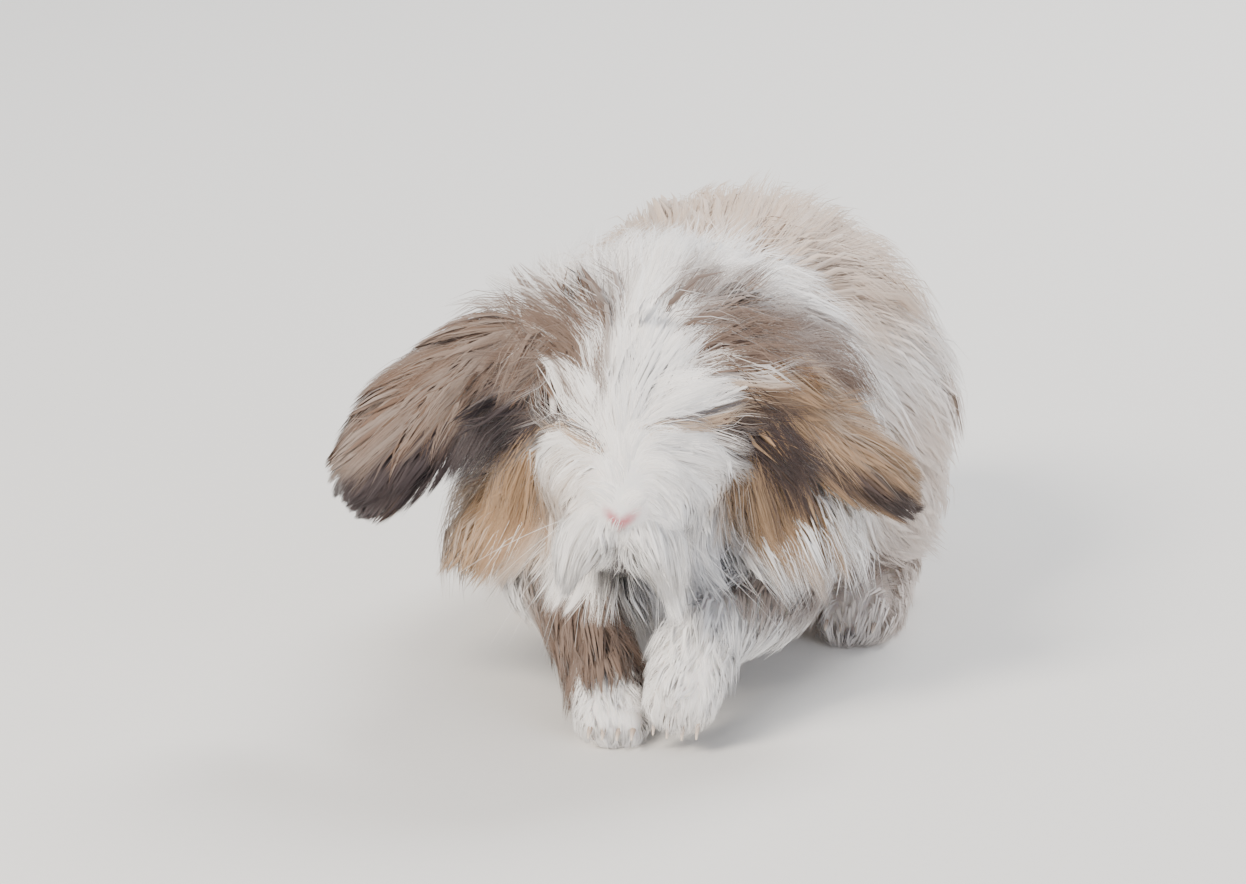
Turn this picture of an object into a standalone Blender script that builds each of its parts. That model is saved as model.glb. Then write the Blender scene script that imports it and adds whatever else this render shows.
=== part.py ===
"""Long-haired lop-eared dwarf rabbit at life size, in a low hop with both forefeet together.

The rabbit faces -Y, its left side is +X and the floor is Z = 0. Sizes below are in centimetres
and are turned to metres as the meshes are made. The body is modelled whole, as a core of flesh with
half of the coat's depth, which is parted into nodes by thin cuts. Locks are then combed over it.
Each belongs to the node that its root is in and lies over the nodes behind it.
"""

import math
import random

import bmesh
import bpy
from mathutils import Matrix, Vector
from mathutils.bvhtree import BVHTree

CM = 0.01
UP = Vector((0, 0, 1))
# In metres: the gap between nodes, and how close points have to be to be made one
GAP = 0.0003
SAME_POINT = 0.000004
SEED = 9

# Head: the nose tip's place and the way that the head is turned
NOSE_TIP = Vector((0.8, -14.5, 8.4))
HEAD_PITCH = math.radians(22)
HEAD_ROLL = math.radians(5)
HEAD_YAW = math.radians(7)
EYE_RADIUS = 0.72
EYE_PLACE = Vector((2.8, 4.75, 0.75))
EAR_ROOT = Vector((2.7, 7.2, 2.3))
HAIR_CENTRE = Vector((0.0, 3.0, 2.4))

# How far the solid core of the coat stands off the flesh, and the whole depth of the coat there
BODY_CORE, BODY_COAT = 1.1, 2.7
NECK_CORE, NECK_COAT = 1.2, 2.8
THIGH_CORE, THIGH_COAT = 0.8, 1.9
LEG_CORE, LEG_COAT = 0.25, 0.6
FOOT_COAT = 0.5
TAIL_CORE, TAIL_COAT = 0.6, 1.5
EAR_CORE, EAR_COAT = 0.12, 0.5

# Stations of the flesh: x, y, z, half width, height above the line, depth below it
TORSO = (
    (0.0, -7.6, 8.0, 1.6, 1.8, 1.8),
    (0.0, -6.8, 8.1, 2.8, 3.0, 3.0),
    (0.0, -5.0, 8.2, 3.8, 3.6, 4.0),
    (0.0, -2.0, 8.1, 4.5, 4.2, 4.6),
    (0.0, 2.0, 8.0, 4.9, 4.7, 4.8),
    (0.0, 6.0, 7.9, 5.2, 4.9, 4.9),
    (0.0, 9.5, 7.3, 4.8, 4.6, 4.4),
    (0.0, 12.0, 6.6, 3.5, 3.5, 3.2),
    (0.0, 13.3, 6.2, 1.6, 1.8, 1.6),
)
NECK = (
    (0.5, -9.6, 10.8, 2.5, 2.6, 2.4),
    (0.3, -7.6, 10.6, 3.1, 3.2, 3.0),
    (0.1, -5.2, 10.0, 3.4, 3.4, 3.3),
    (0.0, -3.0, 9.2, 3.4, 3.2, 3.3),
)
TAIL = (
    (0.0, 12.4, 6.6, 1.0, 1.0, 1.0),
    (0.0, 13.7, 7.1, 1.0, 0.9, 0.9),
    (0.0, 14.5, 7.9, 0.9, 0.8, 0.8),
    (0.0, 14.8, 8.8, 0.5, 0.5, 0.5),
)
# Stations of the head in its own frame: y runs from the nose tip to the back of the skull
HEAD = (
    (0.0, 0.15, 0.0, 0.75, 0.6, 0.7),
    (0.0, 0.6, 0.0, 1.3, 1.0, 1.2),
    (0.0, 1.4, 0.0, 1.8, 1.5, 1.7),
    (0.0, 2.4, 0.0, 2.2, 1.95, 2.1),
    (0.0, 3.6, 0.0, 2.6, 2.3, 2.4),
    (0.0, 5.0, 0.0, 2.95, 2.6, 2.6),
    (0.0, 6.4, 0.0, 3.3, 2.75, 2.7),
    (0.0, 7.8, 0.0, 3.2, 2.55, 2.3),
    (0.0, 8.9, 0.0, 2.4, 1.9, 1.7),
    (0.0, 9.5, 0.0, 1.1, 0.9, 0.8),
)
# How far the core stands off the head there: most on the cheeks and nape
HEAD_CORE = (0.0, 0.0, 0.1, 0.2, 0.25, 0.35, 0.9, 1.2, 1.2, 0.9)
CHEEK_PLACE, CHEEK_RADII, CHEEK_CORE = Vector((2.9, 6.2, -1.6)), Vector((1.8, 1.5, 1.1)), 1.4
# Lips, chin, nose and the cuts in them, in the head's frame: place and radii
LIP_PLACE, LIP_RADII = Vector((0.8, 0.75, -0.85)), Vector((1.0, 0.9, 0.85))
CHIN_PLACE, CHIN_RADII = Vector((0.0, 1.75, -1.75)), Vector((0.95, 1.0, 0.7))
NOSE_PLACE, NOSE_RADII = Vector((0.0, 0.12, 0.1)), Vector((0.62, 0.42, 0.5))
NOSTRIL_PLACE, NOSTRIL_RADII = Vector((0.36, -0.16, 0.2)), Vector((0.3, 0.26, 0.07))
NOSTRIL_TILT = math.radians(38)
MOUTH_PLACE, MOUTH_RADII = Vector((0.75, 0.55, -1.62)), Vector((1.0, 1.15, 0.08))
MOUTH_TILT = math.radians(24)
CLEFT_PLACE, CLEFT_RADII = Vector((0.0, -0.05, -0.95)), Vector((0.06, 0.5, 0.75))
FORELEG_LEFT = (
    (4.0, -5.2, 6.0, 1.7, 1.7, 1.7),
    (4.3, -7.2, 4.3, 1.4, 1.4, 1.4),
    (3.5, -9.3, 3.9, 1.0, 1.0, 1.0),
    (2.75, -11.1, 3.6, 0.95, 0.9, 0.9),
)
FORELEG_RIGHT = (
    (-3.7, -5.2, 6.0, 1.7, 1.7, 1.7),
    (-3.6, -7.4, 4.8, 1.4, 1.4, 1.4),
    (-2.1, -9.5, 4.0, 1.0, 1.0, 1.0),
    (-0.7, -11.0, 2.4, 0.9, 0.9, 0.9),
)
FOREPAW_LEFT = (
    (2.8, -10.7, 3.7, 0.8, 0.8, 0.8),
    (2.7, -11.6, 3.3, 1.0, 0.85, 0.85),
    (2.6, -12.5, 2.3, 1.15, 0.75, 0.75),
    (2.5, -13.1, 1.5, 1.0, 0.6, 0.6),
)
FOREPAW_RIGHT = (
    (-0.9, -10.7, 2.6, 0.8, 0.8, 0.8),
    (-0.4, -11.4, 1.7, 0.9, 0.85, 0.9),
    (0.0, -12.4, 0.95, 1.05, 0.7, 1.05),
    (0.2, -13.1, 0.7, 0.95, 0.5, 0.8),
)
# The left hind foot; the right one mirrors it
HIND_FOOT = (
    (4.9, 9.4, 1.9, 0.7, 0.7, 0.9),
    (5.0, 8.4, 1.3, 0.95, 0.9, 1.4),
    (5.2, 5.4, 1.0, 1.05, 0.85, 1.1),
    (5.4, 2.4, 0.9, 1.25, 0.8, 1.0),
    (5.5, 1.0, 0.75, 1.1, 0.6, 0.85),
)
THIGH_CENTRE, THIGH_RADII = Vector((4.2, 6.0, 5.6)), Vector((2.0, 4.5, 4.1))
SHOULDER_CENTRE, SHOULDER_RADII = Vector((3.0, -5.2, 6.6)), Vector((1.7, 2.6, 3.0))

# Each ear: its midrib from the root, the way that its outer face looks, and its widths
EAR_LEFT_RIB = (
    (0.0, 0.0, 0.0),
    (0.9, 0.5, -2.0),
    (2.4, 1.3, -3.2),
    (4.0, 2.4, -4.4),
    (5.3, 3.4, -5.6),
)
EAR_LEFT_FACES = Vector((0.45, -0.3, 0.84))
EAR_RIGHT_RIB = (
    (0.0, 0.0, 0.0),
    (-2.0, 0.0, -0.6),
    (-4.1, -0.3, -2.1),
    (-6.0, -0.6, -4.1),
    (-7.4, -0.8, -6.0),
)
EAR_RIGHT_FACES = Vector((-0.23, -0.88, 0.38))
EAR_HALF_WIDTHS = (0.8, 1.1, 1.4, 1.5, 0.8)
EAR_CUPS = (0.8, 0.7, 0.55, 0.4, 0.2)
EAR_SPREAD = (-1.0, -0.55, 0.0, 0.55, 1.0)
EAR_THICKNESS, EAR_POINT = 0.3, 0.5
EAR_FRINGE, EAR_CELL_HALF, EAR_CELL_BEYOND = 1.5, 0.95, 4.0
# The section at which each ear's node starts, outside the head's core
EAR_LEFT_START, EAR_RIGHT_START = 3, 2
# The way that the left eye looks, in the head's frame, and how far from its middle hair keeps
EYE_LOOKS = Vector((0.93, -0.34, 0.12))
EYE_CLEAR = 1.05
LID_WIDTH, LID_HEIGHT, LID_FORWARD, LID_THICKNESS = 0.66, 0.52, 0.36, 0.13
# Toes and claws: places across the paw, and half thickness at root and end
TOE_SHARES, TOE_ROOT, TOE_END = (-1.0, -0.34, 0.34, 1.0), 0.33, 0.21
CLAW_ROOT, CLAW_END, CLAW_LENGTH = 0.1, 0.05, 0.42
# How far the rounded ends of a limb stand past its last stations, as a share of its half width
END_BULGE = 0.55

# A lock: shares of its width, ridge, length and of the coat's depth from root to tip
LOCK_WIDTHS = (0.65, 1.0, 0.85, 0.5)
LOCK_RISES = (0.8, 1.0, 0.75, 0.5)
LOCK_STEPS = (0.16, 0.25, 0.28, 0.31)
LOCK_HEIGHTS = (0.3, 0.65, 0.9, 1.0)
LOCK_THICKNESS = 0.24
LOCK_SUNK = 0.45
# The most that a lock turns from the lie, and the least and most share of its length and width
LOCK_TURN, LOCK_LENGTHS, LOCK_BREADTHS = 0.2, (0.9, 1.15), (0.9, 1.1)
# The cosine of the most that a lock bends at a station
MOST_BEND = 0.55
# Shorter shares that a lock takes where its whole length would reach a node over it
LOCK_SHORTER = (1.0, 0.8, 0.62, 0.48)
# In metres, the gap that a lock keeps to the nodes under it
LOCK_GAP = 0.0004
ROOT_TRIES = 4000
RAY, RAY_STEP = Vector((0.13, 0.21, 0.97)).normalized(), 1e-6

# Planes and cells that part the nodes
FAR = 30.0
HEAD_FLOOR = 4.75
NAPE_AT, NAPE_LEAN = -7.0, 0.2
WITHERS_AT, WITHERS_LEAN = -3.9, 0.35
WAIST_AT = 1.2
PAWS_MIDDLE = 1.3
WRIST_AT = -10.95
FOOT_TOP = 1.95
BELLY_FLOOR, NECK_FLOOR, LEAN_LEVEL = 0.2, 6.0, 8.0
FOREPAW_LEFT_CELL = ((PAWS_MIDDLE + 0.03, -FAR, 0.3), (9.0, WRIST_AT, 4.9))
FOREPAW_RIGHT_CELL = ((-9.0, -FAR, 0.0), (PAWS_MIDDLE, WRIST_AT, 3.9))
HINDFOOT_CELL = ((3.4, -4.0, 0.0), (9.0, 11.5, FOOT_TOP))
TAIL_CELL = ((-2.4, 13.7, 4.6), (2.4, 25.0, 14.0))
# The foreleg cell: below a leaning plane through a point over the wrist, down to behind the elbow
LEG_LEAN, LEG_TOP, LEG_BEHIND = math.radians(-27), Vector((0, -8.4, 4.15)), -5.4
# The drum round a thigh: past the thigh's radii, half its length and where its middle is
HIP_PAST, HIP_LENGTH, HIP_MIDDLE, HIP_SIDES = Vector((0.7, 0.6, 0)), 6.0, Vector((6.9, 6.0, 5.8)), 28


def head_frame():
    """The head's own frame in the world: the origin is the nose tip and -Y is where it looks."""
    turn = Matrix.Rotation(HEAD_YAW, 4, "Z") @ Matrix.Rotation(HEAD_ROLL, 4, "Y")
    return Matrix.Translation(NOSE_TIP) @ turn @ Matrix.Rotation(HEAD_PITCH, 4, "X")


def smooth_rows(rows, steps):
    """The rows with more between them, on a Catmull-Rom curve through every number."""
    ends = [rows[0], *rows, rows[-1]]
    found = []
    for k in range(len(rows) - 1):
        a, b, c, d = ends[k : k + 4]
        for step in range(steps):
            t = step / steps
            found.append(
                tuple(
                    0.5
                    * (
                        2 * q
                        + (r - p) * t
                        + (2 * p - 5 * q + 4 * r - s) * t**2
                        + (3 * q - p - 3 * r + s) * t**3
                    )
                    for p, q, r, s in zip(a, b, c, d)
                )
            )
    return [*found, tuple(rows[-1])]


def closed_mesh(name, rings, first_pole=None, last_pole=None):
    """A mesh object through the rings of points, in centimetres, closed at both ends."""
    shape = bmesh.new()
    loops = [[shape.verts.new(point * CM) for point in ring] for ring in rings]
    for before, after in zip(loops, loops[1:]):
        for k in range(len(before)):
            j = (k + 1) % len(before)
            shape.faces.new((before[k], before[j], after[j]))
            shape.faces.new((before[k], after[j], after[k]))
    for loop, pole in ((loops[0], first_pole), (loops[-1], last_pole)):
        if pole is None:
            shape.faces.new(loop)
            continue
        tip = shape.verts.new(pole * CM)
        for k in range(len(loop)):
            shape.faces.new((loop[k], loop[(k + 1) % len(loop)], tip))
    bmesh.ops.triangulate(shape, faces=[f for f in shape.faces if len(f.verts) > 3])
    bmesh.ops.recalc_face_normals(shape, faces=shape.faces)
    return object_of(name, shape)


def object_of(name, shape):
    mesh = bpy.data.meshes.new(name)
    shape.to_mesh(mesh)
    shape.free()
    made = bpy.data.objects.new(name, mesh)
    bpy.context.scene.collection.objects.link(made)
    return made


def limb(name, stations, core, sides, steps=2, frame=None, top=UP):
    """A round closed body through the stations, each one grown by the coat's core."""
    frame = frame or Matrix.Identity(4)
    core = core if isinstance(core, tuple) else (core,) * len(stations)
    grown = [(*s[:3], s[3] + c, s[4] + c, s[5] + c) for s, c in zip(stations, core)]
    rows = smooth_rows(grown, steps)
    places = [frame @ Vector(row[:3]) for row in rows]
    top = (frame.to_3x3() @ top).normalized()
    rings = []
    for k, row in enumerate(rows):
        along = (places[min(k + 1, len(rows) - 1)] - places[max(k - 1, 0)]).normalized()
        across = along.cross(top).normalized()
        upward = across.cross(along)
        ring = []
        for side in range(sides):
            angle = math.tau * side / sides
            rise = math.sin(angle) * (row[4] if math.sin(angle) > 0 else row[5])
            ring.append(places[k] + across * math.cos(angle) * row[3] + upward * rise)
        rings.append(ring)
    first = places[0] + (places[0] - places[1]).normalized() * rows[0][3] * END_BULGE
    last = places[-1] + (places[-1] - places[-2]).normalized() * rows[-1][3] * END_BULGE
    return closed_mesh(name, rings, first, last)


def ball(name, centre, radii, sides=16, rows=8):
    """A round closed body: level rings between two poles."""
    rings = []
    for row in range(1, rows):
        slope = math.pi * row / rows
        ring = []
        for side in range(sides):
            angle = math.tau * side / sides
            level = Vector((math.cos(angle), math.sin(angle), 0.0)) * math.sin(slope)
            ring.append(centre + (level + UP * math.cos(slope)) * radii)
        rings.append(ring)
    rise = UP * radii.z
    return closed_mesh(name, rings, centre + rise, centre - rise)


def mirrored(stations):
    return tuple((-s[0], *s[1:]) for s in stations)


def flipped(place):
    return Vector((-place.x, place.y, place.z))


def ear_sections(root, rib, faces):
    """Along the midrib: place, the way across the flap, the outer way, half width and cup."""
    rows = [(*point, w, c) for point, w, c in zip(rib, EAR_HALF_WIDTHS, EAR_CUPS)]
    rows = smooth_rows(rows, 2)
    places = [root + Vector(row[:3]) for row in rows]
    sections = []
    for k, row in enumerate(rows):
        along = (places[min(k + 1, len(rows) - 1)] - places[max(k - 1, 0)]).normalized()
        across = along.cross(faces).normalized()
        outward = across.cross(along).normalized()
        sections.append((places[k], across, outward, row[3], row[4]))
    return sections


def ear_flap(name, root, rib, faces):
    """A cupped leaf: convex on its outer face and hollow on its inner one."""
    thick = EAR_THICKNESS / 2 + EAR_CORE
    sections = ear_sections(root, rib, faces)
    rings = []
    for place, across, outward, half, cup in sections:
        middle = [place + across * half * j + outward * cup * (1 - j * j) for j in EAR_SPREAD]
        inner = [point - outward * thick for point in reversed(middle)]
        rings.append([point + outward * thick for point in middle] + inner)
    before, last = sections[-2][0], sections[-1][0]
    return closed_mesh(name, rings, None, last + (last - before).normalized() * EAR_POINT)


def tree_of(objects):
    """One search tree over all the meshes."""
    points, faces = [], []
    for obj in objects:
        start = len(points)
        points += [v.co.copy() for v in obj.data.vertices]
        faces += [[start + v for v in p.vertices] for p in obj.data.polygons]
    return BVHTree.FromPolygons(points, faces)


def is_inside(tree, point):
    """Whether a ray from the point crosses the closed bodies' surface an odd number of times."""
    start, crossings = point.copy(), 0
    while True:
        place = tree.ray_cast(start, RAY)[0]
        if place is None:
            return crossings % 2 == 1
        crossings += 1
        start = place + RAY * RAY_STEP


def scattered_roots(obj, plan, chance):
    """Points spread over a mesh, as far apart as the plan says there, each with its normal and plan."""
    obj.data.calc_loop_triangles()
    points = [v.co for v in obj.data.vertices]
    triangles = [[points[i] for i in t.vertices] for t in obj.data.loop_triangles]
    areas = [((b - a).cross(c - a)).length / 2 for a, b, c in triangles]
    kept = []
    for a, b, c in chance.choices(triangles, areas, k=ROOT_TRIES):
        u, v = chance.random(), chance.random()
        if u + v > 1:
            u, v = 1 - u, 1 - v
        place = a + (b - a) * u + (c - a) * v
        normal = (b - a).cross(c - a).normalized()
        wanted = plan(place / CM, normal)
        if wanted and all((place - other).length > wanted["spacing"] * CM for other, _, _ in kept):
            kept.append((place, normal, wanted))
    return kept


def lock_object(name, places, normals, width, thickness, grow=0.0):
    """A flat lock with a low ridge: three sided, widest near its root and ending in a point."""
    rings = []
    for k, (wide, rise) in enumerate(zip(LOCK_WIDTHS, LOCK_RISES)):
        along = (places[k + 1] - places[max(k - 1, 0)]).normalized()
        across = normals[k].cross(along).normalized()
        upward = along.cross(across)
        half, high = width / 2 * wide, thickness * rise
        inner = half * high / (half + math.hypot(half, high))
        middle = places[k] - along * grow if k == 0 else places[k]
        ring = []
        for side, lift in ((-half, 0.0), (half, 0.0), (0.0, high)):
            share = 1 + grow / inner
            point = middle + across * side * share + upward * (inner + (lift - inner) * share)
            ring.append(point / CM)
        rings.append(ring)
    tip = places[-1] + (places[-1] - places[-2]).normalized() * grow * 6
    return closed_mesh(name, rings, None, tip / CM)


def combed_lock(tree, root, normal, wanted, turn, share):
    """The stations of a lock that starts sunk in the core and ends at the coat's depth."""
    length = wanted["length"] * CM * share
    depth = wanted["depth"] * CM
    floor = wanted.get("floor", 0.6) * CM
    follow = wanted.get("follow", 0.75)
    lie = wanted["lie"]
    heading = (lie - normal * lie.dot(normal)).normalized()
    heading = Matrix.Rotation(turn, 3, normal) @ heading
    base, places, normals = root.copy(), [root - normal * LOCK_SUNK * CM], [normal]
    for step, height in zip(LOCK_STEPS, LOCK_HEIGHTS):
        base = base + heading * length * step
        nearest, found, _, _ = tree.find_nearest(base)
        found = (found * follow + normals[-1] * 1.5).normalized()
        base = base.lerp(nearest, follow)
        turned = Matrix.Rotation(turn * 0.5, 3, found) @ heading
        heading = (turned - found * turned.dot(found) * follow).normalized()
        place = base + found * depth * height * min(1.0, share * 1.2)
        place.z = max(place.z, floor + 0.12 * CM * (len(LOCK_STEPS) - len(places)))
        places.append(place)
        normals.append(found)
    return places, normals


def bends_gently(places):
    """Whether a lock turns little from each of its stations to the next, so that it can't fold."""
    ways = [(after - before).normalized() for before, after in zip(places, places[1:])]
    return all(one.dot(other) > MOST_BEND for one, other in zip(ways[1:], ways[2:]))


def coat_over(core, others, tree, plan, chance, cell_trees, bare):
    """The locks of one core, as a node number, a lock and a slightly fatter lock each."""
    hidden = [tree_of([other]) for other in others]
    eyes = [head_frame() @ place * CM for place in (EYE_PLACE, flipped(EYE_PLACE))]

    def in_the_way(place, home):
        covers_eye = any((place - eye).length < EYE_CLEAR * CM for eye in eyes)
        return covers_eye or any(is_inside(cell, place) for cell in cell_trees[:home])

    made = []
    for root, normal, wanted in scattered_roots(core, plan, chance):
        turn = chance.uniform(-LOCK_TURN, LOCK_TURN)
        share, wide = chance.uniform(*LOCK_LENGTHS), chance.uniform(*LOCK_BREADTHS)
        if any(is_inside(other, root) for other in hidden):
            continue
        under = root - normal * LOCK_SUNK / 2 * CM
        home = next((n for n, cell in enumerate(cell_trees) if is_inside(cell, under)), None)
        if home is None or home in bare:
            continue
        for shorter in LOCK_SHORTER:
            places, normals = combed_lock(tree, root, normal, wanted, turn, share * shorter)
            if bends_gently(places) and not any(in_the_way(place, home) for place in places[1:]):
                width = wanted["width"] * CM * wide * shorter**0.5
                shape = (places, normals, width, width * LOCK_THICKNESS)
                made.append((home, lock_object("lock", *shape), lock_object("fat_lock", *shape, LOCK_GAP)))
                break
    return made


def body_lie(normal):
    """The wool lies back over the spine, falls down the flanks and runs back under the belly."""
    side = min(1.0, abs(normal.x) * 1.15)
    return Vector((0.10 * normal.x, 1.0 - 0.55 * side, -0.12 - 0.85 * side))


def coat_floor(place):
    """The wool ends above the hind feet beside the belly and just off the floor under it."""
    over_foot = abs(place.x) > 2.9 and -3.5 < place.y < 12
    return FOOT_TOP + 0.25 if over_foot else 1.0


def torso_plan(place, normal):
    under = max(0.0, -normal.z)
    return {
        "spacing": 2.7 + 0.6 * under,
        "length": 5.0 - 1.8 * under,
        "depth": (BODY_COAT - BODY_CORE) * (1 - 0.5 * under),
        "width": 2.6,
        "lie": body_lie(normal),
        "floor": coat_floor(place),
    }


def thigh_plan(place, normal):
    return {
        "spacing": 2.6,
        "length": 4.2,
        "depth": THIGH_COAT - THIGH_CORE,
        "width": 2.4,
        "lie": Vector((0, 0.75, -0.75)),
        "floor": coat_floor(place),
    }


def neck_plan(place, normal):
    """The ruff stands out more to the sides and falls over the chest in front."""
    front = max(0.0, -normal.y)
    return {
        "spacing": 2.4,
        "length": 4.2,
        "depth": NECK_COAT - NECK_CORE,
        "width": 2.3,
        "lie": Vector((0.45 * normal.x, 0.8 - front, -0.25 - 0.6 * abs(normal.x) - front)),
        "floor": HEAD_FLOOR,
    }


def head_plan(place, normal):
    """Hair runs outwards from the middle of the nose bridge, and is longest on the cheeks."""
    local = head_frame().inverted() @ place
    if local.y < 0.35 or (abs(local.x) < 0.9 and local.y < 1.9 and local.z > -1.3):
        return None
    lie = (local - HAIR_CENTRE).normalized() + Vector((0, 0.3, -0.25))
    back = min(1.0, max(0.0, (local.y - 1.5) / 4.0))
    side = min(1.0, abs(local.x) / 3.0) * (1.0 if local.z < 1.6 else 0.5)
    on_forehead = local.z > 1.2 and local.y < 7.5
    return {
        "spacing": 1.25 if on_forehead else 1.3 + 0.6 * back,
        "length": 1.9 + 1.6 * back,
        "depth": 0.55 + 0.5 * back + 0.9 * side * back,
        "width": 1.2 + 0.6 * back,
        "lie": head_frame().to_3x3() @ lie,
        "follow": 0.45,
        "floor": HEAD_FLOOR + 0.15,
    }


def lip_plan(place, normal):
    """The hair under the nose hangs outwards and down like a moustache."""
    local = head_frame().inverted() @ place
    if local.y < 0.3 or local.z > -0.7 or abs(local.x) < 0.5:
        return None
    return {
        "spacing": 0.9,
        "length": 2.0,
        "depth": 0.55,
        "width": 1.0,
        "lie": head_frame().to_3x3() @ Vector((0.35 * math.copysign(1.0, local.x), 0.35, -1.0)),
        "follow": 0.3,
        "floor": HEAD_FLOOR + 0.15,
    }


def tail_plan(place, normal):
    return {
        "spacing": 1.7,
        "length": 2.4,
        "depth": TAIL_COAT - TAIL_CORE,
        "width": 1.5,
        "lie": Vector((0.3 * normal.x, 0.3, 0.9)),
    }


def limb_plan(stations, spacing, length, width, floor):
    """The plan of a leg or a foot: short hair that runs down it."""
    way = limb_lie(stations)

    def plan(place, normal):
        if place.z < floor + 0.5 or place.y < WRIST_AT + 0.6:
            return None
        return {
            "spacing": spacing,
            "length": length,
            "depth": LEG_COAT - LEG_CORE,
            "width": width,
            "lie": way + Vector((0, 0, -0.2)),
            "floor": floor,
        }

    return plan


def limb_lie(stations):
    """The way down a limb, from its first station to its last."""
    return (Vector(stations[-1][:3]) - Vector(stations[0][:3])).normalized()


def ear_plan(rib, faces):
    """Long hair on the outer face of an ear, combed to the tip and out past its edges."""
    way = (Vector(rib[-1]) - Vector(rib[1])).normalized()
    across = way.cross(faces).normalized()

    def plan(place, normal):
        if normal.dot(faces) < -0.35:
            return None
        edge = normal.dot(across)
        return {
            "spacing": 1.7,
            "length": 2.8,
            "depth": EAR_COAT,
            "width": 1.4,
            "lie": way + across * 0.45 * edge,
            "follow": 0.3,
        }

    return plan


def union(name, pieces):
    """One body out of the closed pieces, by one Boolean union on their collection."""
    first, rest = pieces[0], pieces[1:]
    if not rest:
        return first
    group = bpy.data.collections.new(name + "_pieces")
    bpy.context.scene.collection.children.link(group)
    for piece in rest:
        bpy.context.scene.collection.objects.unlink(piece)
        group.objects.link(piece)
    join = first.modifiers.new("join", "BOOLEAN")
    join.operation = "UNION"
    join.operand_type = "COLLECTION"
    join.collection = group
    join.solver = "MANIFOLD"
    whole = applied(first, name)
    for piece in rest:
        bpy.data.objects.remove(piece)
    bpy.data.collections.remove(group)
    return whole


def applied(obj, name):
    """A new object with the modifiers applied; the old one is removed."""
    graph = bpy.context.evaluated_depsgraph_get()
    mesh = bpy.data.meshes.new_from_object(obj.evaluated_get(graph))
    bpy.data.objects.remove(obj)
    mesh.name = name
    made = bpy.data.objects.new(name, mesh)
    bpy.context.scene.collection.objects.link(made)
    return made


def cut(obj, cutter, operation, name=None):
    """A copy of the object with the cutter's inside kept (INTERSECT) or taken (DIFFERENCE)."""
    copy = bpy.data.objects.new("copy", obj.data.copy())
    bpy.context.scene.collection.objects.link(copy)
    boolean = copy.modifiers.new("cut", "BOOLEAN")
    boolean.operation = operation
    boolean.object = cutter
    boolean.solver = "MANIFOLD"
    return applied(copy, name or obj.name)


def cut_away(obj, cutter):
    """The object with the cutter's inside taken; both old objects are removed."""
    rest = cut(obj, cutter, "DIFFERENCE", obj.name)
    bpy.data.objects.remove(cutter)
    bpy.data.objects.remove(obj)
    return rest


def surfaces(shape):
    """The mesh's connected surfaces as lists of faces, the one round the largest volume first."""
    left = set(shape.faces)
    found = []
    while left:
        front = [left.pop()]
        part = list(front)
        while front:
            for edge in front.pop().edges:
                for other in edge.link_faces:
                    if other in left:
                        left.remove(other)
                        front.append(other)
                        part.append(other)
        found.append(part)
    return sorted(found, key=volume_within, reverse=True)


def volume_within(faces):
    """The volume that the faces enclose, each one taken as a fan of triangles."""
    total = 0.0
    for face in faces:
        first, *others = [v.co for v in face.verts]
        total += sum(first.dot(a.cross(b)) for a, b in zip(others, others[1:])) / 6
    return total


def keep_largest(obj):
    """Keeps the closed surface with the largest volume, so no scrap or sealed hollow stays."""
    shape = bmesh.new()
    shape.from_mesh(obj.data)
    for _ in range(2):
        scraps = [face for part in surfaces(shape)[1:] for face in part]
        bmesh.ops.delete(shape, geom=scraps, context="FACES")
        bmesh.ops.delete(shape, geom=[v for v in shape.verts if not v.link_faces], context="VERTS")
        bmesh.ops.remove_doubles(shape, verts=shape.verts, dist=SAME_POINT)
        bmesh.ops.triangulate(shape, faces=shape.faces)
    shape.to_mesh(obj.data)
    shape.free()


def box(name, low, high, lean=0.0, lean_at=0.0, grow=0.0):
    """A box, in centimetres, whose Y faces lean with height about the level lean_at."""
    shape = bmesh.new()
    bmesh.ops.create_cube(shape, size=1.0)
    low, high = Vector(low) * CM, Vector(high) * CM
    for vert in shape.verts:
        corner = Vector([a if c < 0 else b for a, b, c in zip(low, high, vert.co)])
        corner += Vector([-grow if c < 0 else grow for c in vert.co])
        corner.y += lean * (corner.z - lean_at * CM)
        vert.co = corner
    return object_of(name, shape)


def hip_cell(side, grow):
    """A short drum along X that holds one thigh, from inside the flank outwards."""
    shape = bmesh.new()
    bmesh.ops.create_cone(shape, cap_ends=True, segments=HIP_SIDES, radius1=1.0, radius2=1.0, depth=1.0)
    radii = Vector((THIGH_RADII.z + HIP_PAST.x, THIGH_RADII.y + HIP_PAST.y, HIP_LENGTH)) * CM
    radii += Vector((grow, grow, 2 * grow))
    middle = HIP_MIDDLE if side > 0 else flipped(HIP_MIDDLE)
    place = Matrix.Translation(middle * CM) @ Matrix.Rotation(math.radians(90), 4, "Y")
    bmesh.ops.transform(shape, matrix=place @ Matrix.Diagonal((*radii, 1.0)), verts=shape.verts)
    return object_of("hip_cell", shape)


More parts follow.
